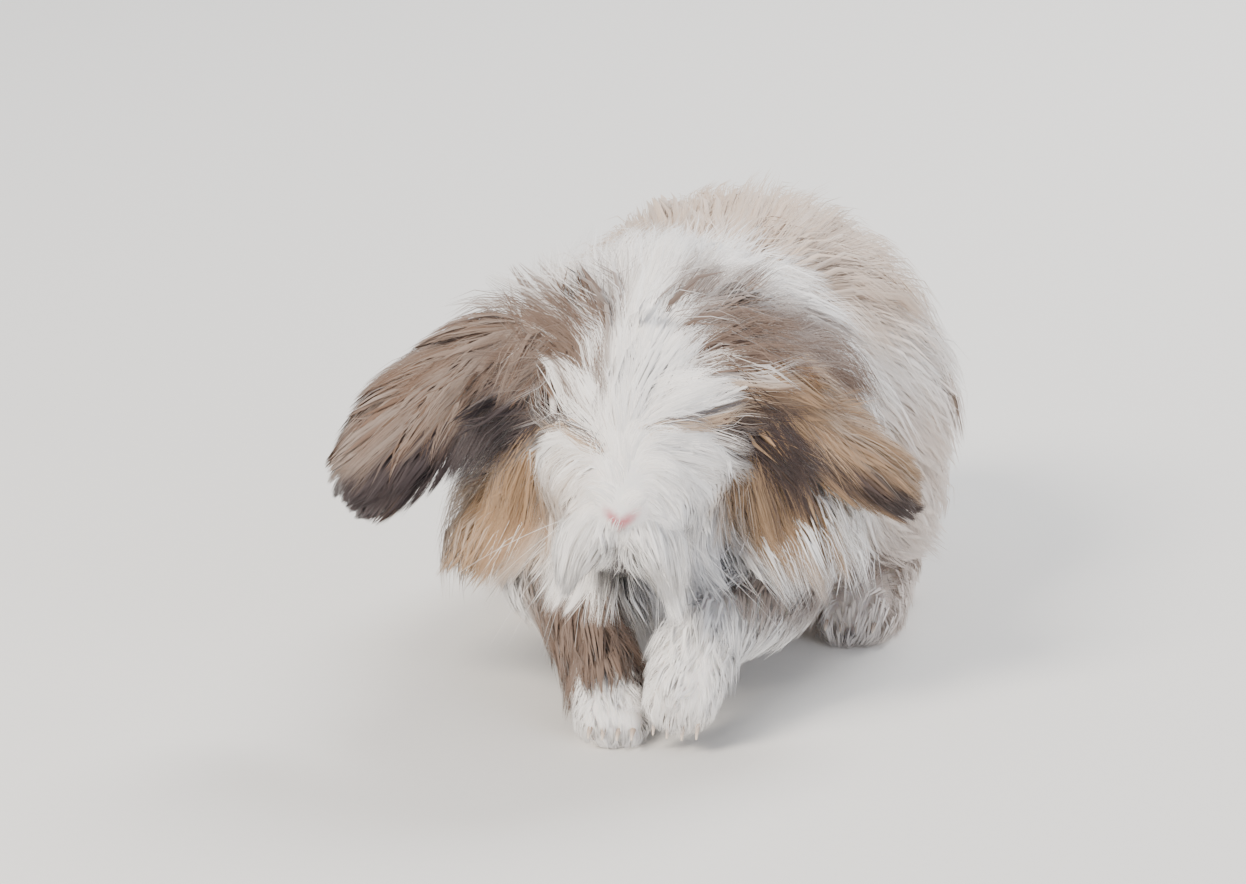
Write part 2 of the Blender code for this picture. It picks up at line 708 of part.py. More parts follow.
def ear_cell(root, rib, faces, start, grow):
    """A curved slab round an ear and its hair, from just outside the head to past its tip."""
    sections = ear_sections(root, rib, faces)[start:]
    tip = sections[-1]
    beyond = tip[0] + (tip[0] - sections[-2][0]).normalized() * EAR_CELL_BEYOND
    sections.append((beyond, *tip[1:4], 0.0))
    extra = grow / CM
    root_end = sections[0][0] + (sections[0][0] - sections[1][0]).normalized() * extra
    sections[0] = (root_end, *sections[0][1:])
    rings = []
    for place, across, outward, half, cup in sections:
        wide = across * (half + EAR_FRINGE + extra)
        middle = place + outward * cup * 0.5
        outer = outward * (EAR_CELL_HALF + cup * 0.5 + extra)
        corners = (outer - wide, outer + wide, wide - outer, -wide - outer)
        rings.append([middle + corner for corner in corners])
    return closed_mesh("ear_cell", rings)


def head_details(head, frame):
    """Adds the lids and cuts sockets, nostrils, lip cleft and mouth."""
    for side in (1, -1):
        eye = EYE_PLACE if side > 0 else flipped(EYE_PLACE)
        head = union("head", [head, lid_ring("lid", frame, side)])
        socket = Vector((EYE_RADIUS + GAP / CM,) * 3)
        head = cut_away(head, ball("socket", frame @ eye, socket, 14, 8))
        turn = Matrix.Rotation(-side * NOSTRIL_TILT, 4, "Y")
        head = cut_away(head, slit(frame, NOSTRIL_PLACE, NOSTRIL_RADII, side, turn))
        turn = Matrix.Rotation(side * MOUTH_TILT, 4, "Y")
        head = cut_away(head, slit(frame, MOUTH_PLACE, MOUTH_RADII, side, turn))
    return cut_away(head, slit(frame, CLEFT_PLACE, CLEFT_RADII, 1, Matrix.Identity(4)))


def slit(frame, place, radii, side, turn):
    """A flat lens, tilted in the head's frame, that cuts a thin opening."""
    made = ball("slit", Vector((0, 0, 0)), radii, 8, 5)
    put = Matrix.Translation(Vector((side * place.x, place.y, place.z)) * CM)
    metric = Matrix.Translation(frame.translation * CM) @ frame.to_3x3().to_4x4()
    made.data.transform(metric @ put @ turn)
    return made


def lid_ring(name, frame, side):
    """The rim of both lids: a ring that lies round the front of the eyeball."""
    centre = EYE_PLACE if side > 0 else flipped(EYE_PLACE)
    looks = Vector((side * EYE_LOOKS.x, EYE_LOOKS.y, EYE_LOOKS.z)).normalized()
    across = looks.cross(UP).normalized()
    upward = across.cross(looks)
    rings = []
    for angle in turns(12):
        radial = across * math.cos(angle) + upward * math.sin(angle)
        rim = across * math.cos(angle) * LID_WIDTH + upward * math.sin(angle) * LID_HEIGHT
        middle = centre + rim + looks * LID_FORWARD
        rings.append(
            [
                frame @ (middle + (radial * math.cos(turn) + looks * math.sin(turn)) * LID_THICKNESS)
                for turn in turns(5)
            ]
        )
    return ring_mesh(name, rings)


def turns(count):
    """Equal angles round a circle."""
    return [math.tau * k / count for k in range(count)]


def ring_mesh(name, rings):
    """A closed ring through the loops of points, the last one joined to the first."""
    shape = bmesh.new()
    loops = [[shape.verts.new(point * CM) for point in ring] for ring in rings]
    for k, before in enumerate(loops):
        after = loops[(k + 1) % len(loops)]
        for i in range(len(before)):
            j = (i + 1) % len(before)
            shape.faces.new((before[i], before[j], after[j], after[i]))
    bmesh.ops.recalc_face_normals(shape, faces=shape.faces)
    return object_of(name, shape)


def toes_and_claws(stations, way):
    """Four toes side by side at the end of a paw, each with a short claw."""
    end, half = Vector(stations[-1][:3]), stations[-1][3]
    across = way.cross(UP).normalized()
    lifted = across.cross(way).normalized()
    made = []
    for share in TOE_SHARES:
        base = end + across * half * 0.72 * share - way * (0.1 + 0.2 * abs(share))
        toe = (
            (*(base + way * 0.3), *(TOE_ROOT,) * 3),
            (*(base + way * 0.85 - lifted * 0.1), *(TOE_END,) * 3),
        )
        made.append(limb("toe", toe, 0.06, 5, 1, None, lifted))
        root = base + way * 0.9
        claw = (
            (*root, *(CLAW_ROOT,) * 3),
            (*(root + way * CLAW_LENGTH - lifted * 0.12), *(CLAW_END,) * 3),
        )
        made.append(limb("claw", claw, 0.0, 3, 1, None, lifted))
    return made


def cells():
    """The node cells, each a name and a function of how far it is grown, in metres.

    Nodes are cut in this order, and hair of an earlier node lies over the later ones."""
    frame = head_frame()
    left, right = frame @ EAR_ROOT, frame @ flipped(EAR_ROOT)
    return (
        ("ear_left", lambda g: ear_cell(left, EAR_LEFT_RIB, EAR_LEFT_FACES, EAR_LEFT_START, g)),
        ("ear_right", lambda g: ear_cell(right, EAR_RIGHT_RIB, EAR_RIGHT_FACES, EAR_RIGHT_START, g)),
        ("forepaw_left", lambda g: box("cell", *FOREPAW_LEFT_CELL, grow=g)),
        ("forepaw_right", lambda g: box("cell", *FOREPAW_RIGHT_CELL, grow=g)),
        ("foreleg_left", lambda g: leg_cell(1, g)),
        ("foreleg_right", lambda g: leg_cell(-1, g)),
        ("head", lambda g: slab(HEAD_FLOOR, NAPE_AT, NAPE_LEAN, g)),
        ("hindfoot_left", lambda g: box("cell", *HINDFOOT_CELL, grow=g)),
        ("hindfoot_right", lambda g: flipped_box(*HINDFOOT_CELL, g)),
        ("neck", lambda g: slab(NECK_FLOOR, WITHERS_AT, WITHERS_LEAN, g)),
        ("chest", lambda g: slab(BELLY_FLOOR, WAIST_AT, 0.0, g)),
        ("rump", rump_cell),
        ("thigh_left", lambda g: hip_cell(1, g)),
        ("thigh_right", lambda g: hip_cell(-1, g)),
        ("tail", lambda g: box("cell", *TAIL_CELL, grow=g)),
    )


def slab(floor, back, lean, grow):
    """All that is above the floor and before the back plane, which leans with height."""
    return box("cell", (-FAR, -FAR, floor), (FAR, back, FAR), lean, LEAN_LEVEL, grow)


def flipped_box(low, high, grow):
    return box("cell", (-high[0], *low[1:]), (-low[0], *high[1:]), grow=grow)


def rump_cell(grow):
    """All behind the waist but for the thighs and the tail."""
    cell = slab(BELLY_FLOOR, FAR, 0.0, grow)
    for left_out in (hip_cell(1, -grow), hip_cell(-1, -grow), box("tail", *TAIL_CELL, grow=-grow)):
        cell = cut_away(cell, left_out)
    return cell


def leg_cell(side, grow):
    """Below a plane that leans from over the wrist down to behind the elbow."""
    inner, outer = (PAWS_MIDDLE + 0.03, 9) if side > 0 else (-9, PAWS_MIDDLE)
    cell = box("cell", (inner, -20, -6), (outer, 20, 0), grow=grow)
    cell.data.transform(Matrix.Translation(LEG_TOP * CM) @ Matrix.Rotation(LEG_LEAN, 4, "X"))
    front = box("front", (-FAR, -FAR, 0.3), (FAR, LEG_BEHIND, 20), grow=grow)
    trimmed = cut(cell, front, "INTERSECT", "cell")
    bpy.data.objects.remove(cell)
    bpy.data.objects.remove(front)
    return trimmed


def material(name, red, green, blue, roughness):
    made = bpy.data.materials.new(name)
    made.use_nodes = True
    shader = made.node_tree.nodes["Principled BSDF"]
    shader.inputs["Base Color"].default_value = (red, green, blue, 1.0)
    shader.inputs["Roughness"].default_value = roughness
    return made


def give_materials():
    """The main colour of the coat on each node, and wet dark eyes."""
    white = material("white_wool", 0.82, 0.79, 0.74, 0.9)
    cream = material("cream_wool", 0.66, 0.53, 0.41, 0.9)
    taupe = material("taupe_fur", 0.22, 0.14, 0.10, 0.85)
    tan = material("orange_tan_fur", 0.38, 0.19, 0.10, 0.85)
    eye = material("wet_brown_eye", 0.02, 0.01, 0.008, 0.05)
    chosen = {
        "head": white,
        "neck": white,
        "chest": white,
        "forepaw_left": white,
        "ear_right": taupe,
        "foreleg_left": taupe,
        "foreleg_right": taupe,
        "forepaw_right": taupe,
        "ear_left": tan,
        "eye_left": eye,
        "eye_right": eye,
    }
    for obj in bpy.data.objects:
        obj.data.materials.clear()
        obj.data.materials.append(chosen.get(obj.name, cream))
        obj.data.shade_smooth()
        obj.data.set_sharp_from_angle(angle=math.radians(40))


def stand_on_origin():
    """Moves every mesh so that the middle of the whole box's floor is the origin."""
    points = [v.co for obj in bpy.data.objects for v in obj.data.vertices]
    low = Vector([min(p[k] for p in points) for k in range(3)])
    high = Vector([max(p[k] for p in points) for k in range(3)])
    move = Matrix.Translation((-(low.x + high.x) / 2, -(low.y + high.y) / 2, -low.z))
    for obj in bpy.data.objects:
        obj.data.transform(move)


def clear_scene():
    for obj in list(bpy.data.objects):
        bpy.data.objects.remove(obj)


def cores(frame):
    """The closed bodies that the coat is combed over, by name."""
    made = {
        "torso": limb("torso", TORSO, BODY_CORE, 16),
        "neck": limb("neck", NECK, NECK_CORE, 14),
        "head": limb("head", HEAD, HEAD_CORE, 18, 2, frame),
        "tail": limb("tail", TAIL, TAIL_CORE, 12, top=Vector((1, 0, 0))),
        "foreleg_left": limb("foreleg_left", FORELEG_LEFT, LEG_CORE, 10),
        "foreleg_right": limb("foreleg_right", FORELEG_RIGHT, LEG_CORE, 10),
        "forepaw_left": limb("forepaw_left", FOREPAW_LEFT, FOOT_COAT, 10),
        "forepaw_right": limb("forepaw_right", FOREPAW_RIGHT, FOOT_COAT, 10),
        "hindfoot_left": limb("hindfoot_left", HIND_FOOT, LEG_CORE, 10),
        "hindfoot_right": limb("hindfoot_right", mirrored(HIND_FOOT), LEG_CORE, 10),
        "ear_left": ear_flap("ear_left", frame @ EAR_ROOT, EAR_LEFT_RIB, EAR_LEFT_FACES),
        "ear_right": ear_flap("ear_right", frame @ flipped(EAR_ROOT), EAR_RIGHT_RIB, EAR_RIGHT_FACES),
    }
    balls = (
        ("lip", frame, LIP_PLACE, LIP_RADII, 0.0, 10, 6),
        ("cheek", frame, CHEEK_PLACE, CHEEK_RADII, CHEEK_CORE, 12, 6),
        ("thigh", Matrix.Identity(4), THIGH_CENTRE, THIGH_RADII, THIGH_CORE, 14, 8),
        ("shoulder", Matrix.Identity(4), SHOULDER_CENTRE, SHOULDER_RADII, THIGH_CORE, 14, 8),
    )
    for word, turn in (("left", Vector), ("right", flipped)):
        for name, where, place, radii, core, sides, rows in balls:
            grown = radii + Vector((core,) * 3)
            made[f"{name}_{word}"] = ball(f"{name}_{word}", where @ turn(place), grown, sides, rows)
    return made


def face_pieces(frame):
    """Chin and nose, as closed bodies that are joined to the head."""
    chin = ball("chin", frame @ CHIN_PLACE, CHIN_RADII, 10, 6)
    nose = ball("nose", frame @ NOSE_PLACE, NOSE_RADII, 10, 6)
    return [chin, nose]


def toes():
    """The toes and claws of all four feet."""
    return [
        *toes_and_claws(FOREPAW_LEFT, Vector((-0.05, -0.5, -0.85)).normalized()),
        *toes_and_claws(FOREPAW_RIGHT, Vector((0.12, -0.99, -0.05)).normalized()),
        *toes_and_claws(HIND_FOOT, Vector((0.05, -1.0, 0.0)).normalized()),
        *toes_and_claws(mirrored(HIND_FOOT), Vector((-0.05, -1.0, 0.0)).normalized()),
    ]


def coats(bodies, cell_trees, chance):
    """Every lock of the coat, as lists by node number: the locks, and the fatter ones."""
    skinned = [body for name, body in bodies.items() if not name.startswith("ear")]
    tree = tree_of(skinned)
    plans = {
        "torso": torso_plan,
        "shoulder_left": torso_plan,
        "shoulder_right": torso_plan,
        "neck": neck_plan,
        "head": head_plan,
        "lip_left": lip_plan,
        "lip_right": lip_plan,
        "cheek_left": head_plan,
        "cheek_right": head_plan,
        "tail": tail_plan,
        "thigh_left": thigh_plan,
        "thigh_right": thigh_plan,
        "foreleg_left": limb_plan(FORELEG_LEFT, 1.5, 2.4, 1.3, 0.6),
        "foreleg_right": limb_plan(FORELEG_RIGHT, 1.5, 2.4, 1.3, 0.6),
        "ear_left": ear_plan(EAR_LEFT_RIB, EAR_LEFT_FACES),
        "ear_right": ear_plan(EAR_RIGHT_RIB, EAR_RIGHT_FACES),
    }
    bare = [k for k, (name, _) in enumerate(cells()) if name.startswith(("forepaw", "hindfoot"))]
    locks, fat_locks = ([[] for _ in cell_trees] for _ in range(2))
    for name, plan in plans.items():
        others = [body for body in skinned if body is not bodies[name]]
        around = tree_of([bodies[name]]) if name.startswith("ear") else tree
        made = coat_over(bodies[name], others, around, plan, chance, cell_trees, bare)
        for home, lock, fat_lock in made:
            locks[home].append(lock)
            fat_locks[home].append(fat_lock)
    return locks, fat_locks


def parted(whole):
    """The cores cut into nodes, cell by cell, with a thin gap between them."""
    nodes = []
    for name, cell in cells():
        kept, taken = cell(0.0), cell(GAP)
        nodes.append(cut(whole, kept, "INTERSECT", name))
        rest = cut(whole, taken, "DIFFERENCE", "whole")
        for obj in (kept, taken, whole):
            bpy.data.objects.remove(obj)
        whole = rest
    bpy.data.objects.remove(whole)
    return nodes


def box_of(obj):
    points = [v.co for v in obj.data.vertices]
    return [(min(p[k] for p in points), max(p[k] for p in points)) for k in range(3)]


def meet(one, other):
    """Whether the boxes of two objects overlap."""
    return all(a[0] < b[1] and b[0] < a[1] for a, b in zip(box_of(one), box_of(other)))


def copy_of(obj):
    copy = bpy.data.objects.new(obj.name, obj.data.copy())
    bpy.context.scene.collection.objects.link(copy)
    return copy


def dressed(number, node, locks, fat_locks):
    """A node with its own locks, cut clear of the cells and the locks that lie over it."""
    node = union(node.name, [node, *locks[number]])
    for _, higher in cells()[:number]:
        cutter = higher(GAP)
        if meet(node, cutter):
            node = cut_away(node, cutter)
        else:
            bpy.data.objects.remove(cutter)
    over = [lock for more in fat_locks[:number] for lock in more if meet(node, lock)]
    if over:
        node = cut_away(node, union("over", [copy_of(lock) for lock in over]))
    return node


def cell_solids():
    """A search tree of each cell."""
    found = []
    for _, cell in cells():
        solid = cell(0.0)
        found.append(tree_of([solid]))
        bpy.data.objects.remove(solid)
    return found


def main():
    clear_scene()
    frame = head_frame()
    bodies = cores(frame)
    locks, fat_locks = coats(bodies, cell_solids(), random.Random(SEED))
    nodes = parted(union("whole", [*bodies.values(), *face_pieces(frame), *toes()]))
    for number, (name, _) in enumerate(cells()):
        node = dressed(number, nodes[number], locks, fat_locks)
        if name == "head":
            node = head_details(node, frame)
        node.name = name
        keep_largest(node)
    for lock in (lock for more in fat_locks for lock in more):
        bpy.data.objects.remove(lock)
    for word, place in (("left", EYE_PLACE), ("right", flipped(EYE_PLACE))):
        ball("eye_" + word, frame @ place, Vector((EYE_RADIUS,) * 3), 14, 8)
    give_materials()
    stand_on_origin()


if __name__ == "__main__":
    main()
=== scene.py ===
"""Looks of a life-size still model: a long-haired lop-eared dwarf rabbit in a low hop.

Run in Blender 4.5 as a script. One skin of flesh is made from the same stations as the solids,
and a coat of solid tufts is combed over it. Shapes are in centimetres, in the rabbit's own place,
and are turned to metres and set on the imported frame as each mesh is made.
"""

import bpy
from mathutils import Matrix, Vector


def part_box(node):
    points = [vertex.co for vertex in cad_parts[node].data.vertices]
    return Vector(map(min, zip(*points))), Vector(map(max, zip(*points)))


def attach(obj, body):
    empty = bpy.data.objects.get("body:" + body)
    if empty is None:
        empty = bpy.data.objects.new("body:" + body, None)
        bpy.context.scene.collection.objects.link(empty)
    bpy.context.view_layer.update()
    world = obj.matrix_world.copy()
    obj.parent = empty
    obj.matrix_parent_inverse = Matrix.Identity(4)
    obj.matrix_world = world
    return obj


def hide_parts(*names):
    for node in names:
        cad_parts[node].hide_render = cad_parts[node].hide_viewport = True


bl_info = {
    "name": "Long-Haired Lop Rabbit",
    "version": (1, 0, 0),
    "blender": (4, 5, 0),
    "location": "3D View > Sidebar > Rabbit",
    "description": "Skin, coat, eyes and claws of a life-size rabbit model, and its stage",
    "category": "Add Mesh",
}

import math
from typing import NamedTuple

import bmesh
import bpy
import numpy as np
from bpy.props import FloatProperty, FloatVectorProperty, IntProperty, PointerProperty
from bpy.types import Operator, Panel, PropertyGroup
from mathutils import Matrix, Vector
from mathutils.bvhtree import BVHTree
from mathutils.kdtree import KDTree

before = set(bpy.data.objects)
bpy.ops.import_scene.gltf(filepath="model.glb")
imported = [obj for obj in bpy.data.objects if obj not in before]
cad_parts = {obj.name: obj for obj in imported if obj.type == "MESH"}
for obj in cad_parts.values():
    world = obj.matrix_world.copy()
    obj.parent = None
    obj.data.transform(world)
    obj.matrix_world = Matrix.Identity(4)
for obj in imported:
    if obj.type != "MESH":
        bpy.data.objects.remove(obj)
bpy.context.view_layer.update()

CM = 0.01
UP = Vector((0, 0, 1))
SIDES = {"left": 1, "right": -1}

# Head: the nose tip's place and the way that the head is turned
NOSE_TIP = Vector((0.8, -14.5, 8.4))
HEAD_PITCH = math.radians(22)
HEAD_ROLL = math.radians(5)
HEAD_YAW = math.radians(7)
EYE_PLACE = Vector((2.8, 4.75, 0.75))
EYE_RADIUS = 0.72
EYE_LOOKS = Vector((0.93, -0.34, 0.12))
EAR_ROOT = Vector((2.7, 7.2, 2.3))

# Stations of the flesh: x, y, z, half width, height above the line, depth below it
TORSO = (
    (0.0, -7.6, 8.0, 1.6, 1.8, 1.8),
    (0.0, -6.8, 8.1, 2.8, 3.0, 3.0),
    (0.0, -5.0, 8.2, 3.8, 3.6, 4.0),
    (0.0, -2.0, 8.1, 4.5, 4.2, 4.6),
    (0.0, 2.0, 8.0, 4.9, 4.7, 4.8),
    (0.0, 6.0, 7.9, 5.2, 4.9, 4.9),
    (0.0, 9.5, 7.3, 4.8, 4.6, 4.4),
    (0.0, 12.0, 6.6, 3.5, 3.5, 3.2),
    (0.0, 13.3, 6.2, 1.6, 1.8, 1.6),
)
NECK = (
    (0.5, -9.6, 10.8, 2.5, 2.6, 2.4),
    (0.3, -7.6, 10.6, 3.1, 3.2, 3.0),
    (0.1, -5.2, 10.0, 3.4, 3.4, 3.3),
    (0.0, -3.0, 9.2, 3.4, 3.2, 3.3),
)
TAIL = (
    (0.0, 12.4, 6.6, 1.0, 1.0, 1.0),
    (0.0, 13.7, 7.1, 1.0, 0.9, 0.9),
    (0.0, 14.5, 7.9, 0.9, 0.8, 0.8),
    (0.0, 14.8, 8.8, 0.5, 0.5, 0.5),
)
# Stations of the head in its own frame: y runs from the nose tip to the back of the skull
HEAD = (
    (0.0, 0.15, 0.0, 0.75, 0.6, 0.7),
    (0.0, 0.6, 0.0, 1.3, 1.0, 1.2),
    (0.0, 1.4, 0.0, 1.8, 1.5, 1.7),
    (0.0, 2.4, 0.0, 2.2, 1.95, 2.1),
    (0.0, 3.6, 0.0, 2.6, 2.3, 2.4),
    (0.0, 5.0, 0.0, 2.95, 2.6, 2.6),
    (0.0, 6.4, 0.0, 3.3, 2.75, 2.7),
    (0.0, 7.8, 0.0, 3.2, 2.55, 2.3),
    (0.0, 8.9, 0.0, 2.4, 1.9, 1.7),
    (0.0, 9.5, 0.0, 1.1, 0.9, 0.8),
)
CHEEK_PLACE, CHEEK_RADII = Vector((2.9, 6.2, -1.6)), Vector((1.8, 1.5, 1.1))
LIP_PLACE, LIP_RADII = Vector((0.8, 0.75, -0.85)), Vector((1.0, 0.9, 0.85))
CHIN_PLACE, CHIN_RADII = Vector((0.0, 1.75, -1.75)), Vector((0.95, 1.0, 0.7))
NOSE_PLACE, NOSE_RADII = Vector((0.0, 0.12, 0.1)), Vector((0.62, 0.42, 0.5))
FORELEG_LEFT = (
    (4.0, -5.2, 6.0, 1.7, 1.7, 1.7),
    (4.3, -7.2, 4.3, 1.4, 1.4, 1.4),
    (3.5, -9.3, 3.9, 1.0, 1.0, 1.0),
    (2.75, -11.1, 3.6, 0.95, 0.9, 0.9),
)
FORELEG_RIGHT = (
    (-3.7, -5.2, 6.0, 1.7, 1.7, 1.7),
    (-3.6, -7.4, 4.8, 1.4, 1.4, 1.4),
    (-2.1, -9.5, 4.0, 1.0, 1.0, 1.0),
    (-0.7, -11.0, 2.4, 0.9, 0.9, 0.9),
)
FOREPAW_LEFT = (
    (2.8, -10.7, 3.7, 0.8, 0.8, 0.8),
    (2.7, -11.6, 3.3, 1.0, 0.85, 0.85),
    (2.6, -12.5, 2.3, 1.15, 0.75, 0.75),
    (2.5, -13.1, 1.5, 1.0, 0.6, 0.6),
)
FOREPAW_RIGHT = (
    (-0.9, -10.7, 2.6, 0.8, 0.8, 0.8),
    (-0.4, -11.4, 1.7, 0.9, 0.85, 0.9),
    (0.0, -12.4, 0.95, 1.05, 0.7, 1.05),
    (0.2, -13.1, 0.7, 0.95, 0.5, 0.8),
)
# The left hind foot; the right one mirrors it
HIND_FOOT = (
    (4.9, 9.4, 1.9, 0.7, 0.7, 0.9),
    (5.0, 8.4, 1.3, 0.95, 0.9, 1.4),
    (5.2, 5.4, 1.0, 1.05, 0.85, 1.1),
    (5.4, 2.4, 0.9, 1.25, 0.8, 1.0),
    (5.5, 1.0, 0.75, 1.1, 0.6, 0.85),
)
THIGH_CENTRE, THIGH_RADII = Vector((4.2, 6.0, 5.6)), Vector((2.0, 4.5, 4.1))
SHOULDER_CENTRE, SHOULDER_RADII = Vector((3.0, -5.2, 6.6)), Vector((1.7, 2.6, 3.0))

# Each ear: its midrib from the root, the way that its outer face looks, and its widths
EAR_LEFT_RIB = (
    (0.0, 0.0, 0.0),
    (0.9, 0.5, -2.0),
    (2.4, 1.3, -3.2),
    (4.0, 2.4, -4.4),
    (5.3, 3.4, -5.6),
)
EAR_LEFT_FACES = Vector((0.45, -0.3, 0.84))
EAR_RIGHT_RIB = (
    (0.0, 0.0, 0.0),
    (-2.0, 0.0, -0.6),
    (-4.1, -0.3, -2.1),
    (-6.0, -0.6, -4.1),
    (-7.4, -0.8, -6.0),
)
EAR_RIGHT_FACES = Vector((-0.23, -0.88, 0.38))
EARS = (
    ("left", EAR_ROOT, EAR_LEFT_RIB, EAR_LEFT_FACES),
    ("right", Vector((-EAR_ROOT.x, EAR_ROOT.y, EAR_ROOT.z)), EAR_RIGHT_RIB, EAR_RIGHT_FACES),
)
EAR_HALF_WIDTHS = (0.8, 1.1, 1.4, 1.5, 0.8)
EAR_CUPS = (0.8, 0.7, 0.55, 0.4, 0.2)
EAR_SPREAD = np.linspace(-1.0, 1.0, 9)
EAR_THICKNESS, EAR_POINT = 0.3, 0.5
END_BULGE = 0.55

# Toes: places across the paw, and half thickness at root and end
TOE_SHARES, TOE_ROOT, TOE_END = (-1.0, -0.34, 0.34, 1.0), 0.33, 0.21
# How far across the paw's end they lie, how far they reach into it and past it, the outer ones
# less, how they spread towards their ends and how far they stand over the floor
TOE_ACROSS, TOE_INSIDE, TOE_REACH, OUTER_TOE, TOE_SPREAD, TOE_CLEAR = 0.72, 0.5, 0.42, 0.12, 1.08, 0.02

# The skin's mesh: the size of its faces, in metres, and how often it is smoothed
SKIN_FACE, MUZZLE_FACE = 0.0018, 0.0005
SKIN_SMOOTHING, MUZZLE_SMOOTHING = 10, 3
# The skin's least height over the floor, in metres, and how near to it a hair's root is
SOLE, ON_SKIN = 0.0003, 0.28

# How much larger the finer muzzle is than the skin round it, at the head's stations
MUZZLE_GROWN, LIP_GROWN = (0.03, 0.03, 0.03, 0.0, -0.25), Vector((0.03,) * 3)
# Openings of the muzzle in the head's frame: places, radii and tilts
NOSTRIL_PLACE, NOSTRIL_RADII = Vector((0.36, -0.16, 0.2)), Vector((0.3, 0.26, 0.06))
NOSTRIL_TILT, MOUTH_TILT = math.radians(38), math.radians(24)
MOUTH_PLACE, MOUTH_RADII = Vector((0.75, 0.55, -1.62)), Vector((1.0, 1.15, 0.08))
CLEFT_PLACE, CLEFT_RADII = Vector((0.0, -0.05, -0.95)), Vector((0.05, 0.5, 0.75))
# The rim of the lids, and how far and how widely the cornea bulges
LID_WIDTH, LID_HEIGHT, LID_FORWARD, LID_THICKNESS, LID_CORNER = 0.66, 0.52, 0.36, 0.13, 0.3
CORNEA_RISE, CORNEA_ANGLE = 0.045, 0.5
# Angles from the eye's middle at which the pupil ends, the iris starts and its dark edge is
PUPIL_ANGLE, IRIS_ANGLE, EDGE_ANGLE = 0.27, 0.31, 0.62
PUPIL_COLOUR, EDGE_COLOUR = "#0D0A0A", "#271912"
# Claws: radii, length, and how far they stand over the floor
CLAW_ROOT, CLAW_TIP, CLAW_LENGTH, CLAW_CLEAR = 0.1, 0.035, 0.5, 0.03
CLAW_TIP_COLOUR = "#E9DACA"
# Whiskers: how many on each side, how long, how far they sag and how thick they are
WHISKERS, WHISKER_LENGTH, WHISKER_SAG, WHISKER_ROOT = 9, 5.6, 1.4, 0.011
# How far under the level the first grows and how far they fan, in degrees, and their stray in radians
WHISKER_FIRST, WHISKER_FAN, WHISKER_STRAY = 35, 60, 0.06

# Size of the patch that each tuft has on the skin's unwrap, and the most hairs in a mesh
PATCH, MOST_IN_PIECE = 0.003, 8800
# Real sizes of the finishes' grain, in metres
PEBBLE, PEBBLE_DEPTH, STIPPLE = 0.0006, 0.0002, 0.004
# How far light goes in the skin, in metres, as red, green and blue
SKIN_SCATTER = (0.004, 0.002, 0.001)
# How far apart the tufts' streaks are taken from the noise, so that no two are alike
STREAK_APART = 60.0

# Solids that the skin stands for, and the coat's pieces: their zones and a slot name that is not used
FLESH_NODES = (
    "head", "neck", "chest", "rump", "tail", "ear_left", "ear_right", "thigh_left", "thigh_right",
    "foreleg_left", "foreleg_right", "forepaw_left", "forepaw_right", "hindfoot_left", "hindfoot_right",
)
COAT_GROUPS = {
    "head": (("head",), "white_wool"),
    "cheeks": (("cheek_left", "cheek_right", "lip_left", "lip_right", "chin"), "tan_fur"),
    "ear_left": (("ear_left",), "tan_fur"),
    "ear_right": (("ear_right",), "taupe_fur"),
    "neck": (("neck",), "white_wool"),
    "body": (("torso", "shoulder_left", "shoulder_right"), "white_wool"),
    "thighs": (("thigh_left", "thigh_right", "tail"), "cream_wool"),
    "legs": (("foreleg_left", "foreleg_right"), "taupe_fur"),
    "forefeet": (("forepaw_left", "forepaw_right"), "white_wool"),
    "hindfeet": (("hindfoot_left", "hindfoot_right"), "cream_wool"),
}

# The angles that the photographed face is seen at
VIEW_AZIMUTH, VIEW_ELEVATION = math.radians(14), math.radians(15)
# Stage, in metres: lights as place, width, power and colour, and the camera's slide from the nose
FLOOR_HALF = 4.0
LIT_POINT = (0.0, -0.05, 0.08)
LIGHTS = {
    "key": ((-0.9, -1.5, 1.6), 0.9, 70.0, "#FFF6EA"),
    "fill": ((1.6, -1.2, 0.9), 1.2, 12.0, "#EAF0FF"),
    "rim": ((0.5, 1.5, 1.5), 0.9, 46.0, "#FFFFFF"),
}
SKY_COLOUR, SKY_STRENGTH = "#DDE3EC", 0.9
CAMERA_SLIDE = (0.001, 0.026)

# Depth of the coat and length of its hair at each of the head's stations
HEAD_COAT = (0.1, 0.2, 0.6, 0.9, 1.0, 1.2, 1.9, 2.4, 2.4, 1.8)
HEAD_HAIR = (0.6, 0.8, 1.7, 2.6, 3.4, 3.8, 4.2, 4.2, 4.0, 3.6)
# How far hair stands past an ear's tip, how much deeper the head's coat is round each ear, and how
# much deeper an ear's own is along its upper part and at its root, with how far off that ends
EAR_FRINGE, ROUND_EAR, ROUND_EAR_AWAY = 0.7, {"left": 0.8, "right": 1.1}, (3.8, 1.0)
EAR_DEEPER, EAR_DEEPER_AWAY, ROOT_DEEPER, ROOT_DEEPER_AWAY = 0.35, (8.0, 5.0), 0.9, (3.0, 0.8)
# The V of the nostrils: its foot, a wing's end and the cleft's end
NOSE_NOTCH, NOSE_WING, NOSE_CLEFT = (0.0, -0.3, -0.15), (0.72, -0.1, 0.42), (0.0, -0.2, -0.6)
# How far from it, and from the eyes, no hair grows
NOSE_BARE, EYE_BARE = 0.2, 0.04
# Rings of a tuft and of a hair from root to tip, and their ridges as a share of half the width
LONG_RINGS, SHORT_RINGS = (0.0, 0.33, 0.67, 1.0), (0.0, 0.5, 1.0)
SHORT_HAIRED = ("foreleg", "forepaw", "hindfoot")
TUFT_RIDGE, HAIR_RIDGE = 0.25, 1.0
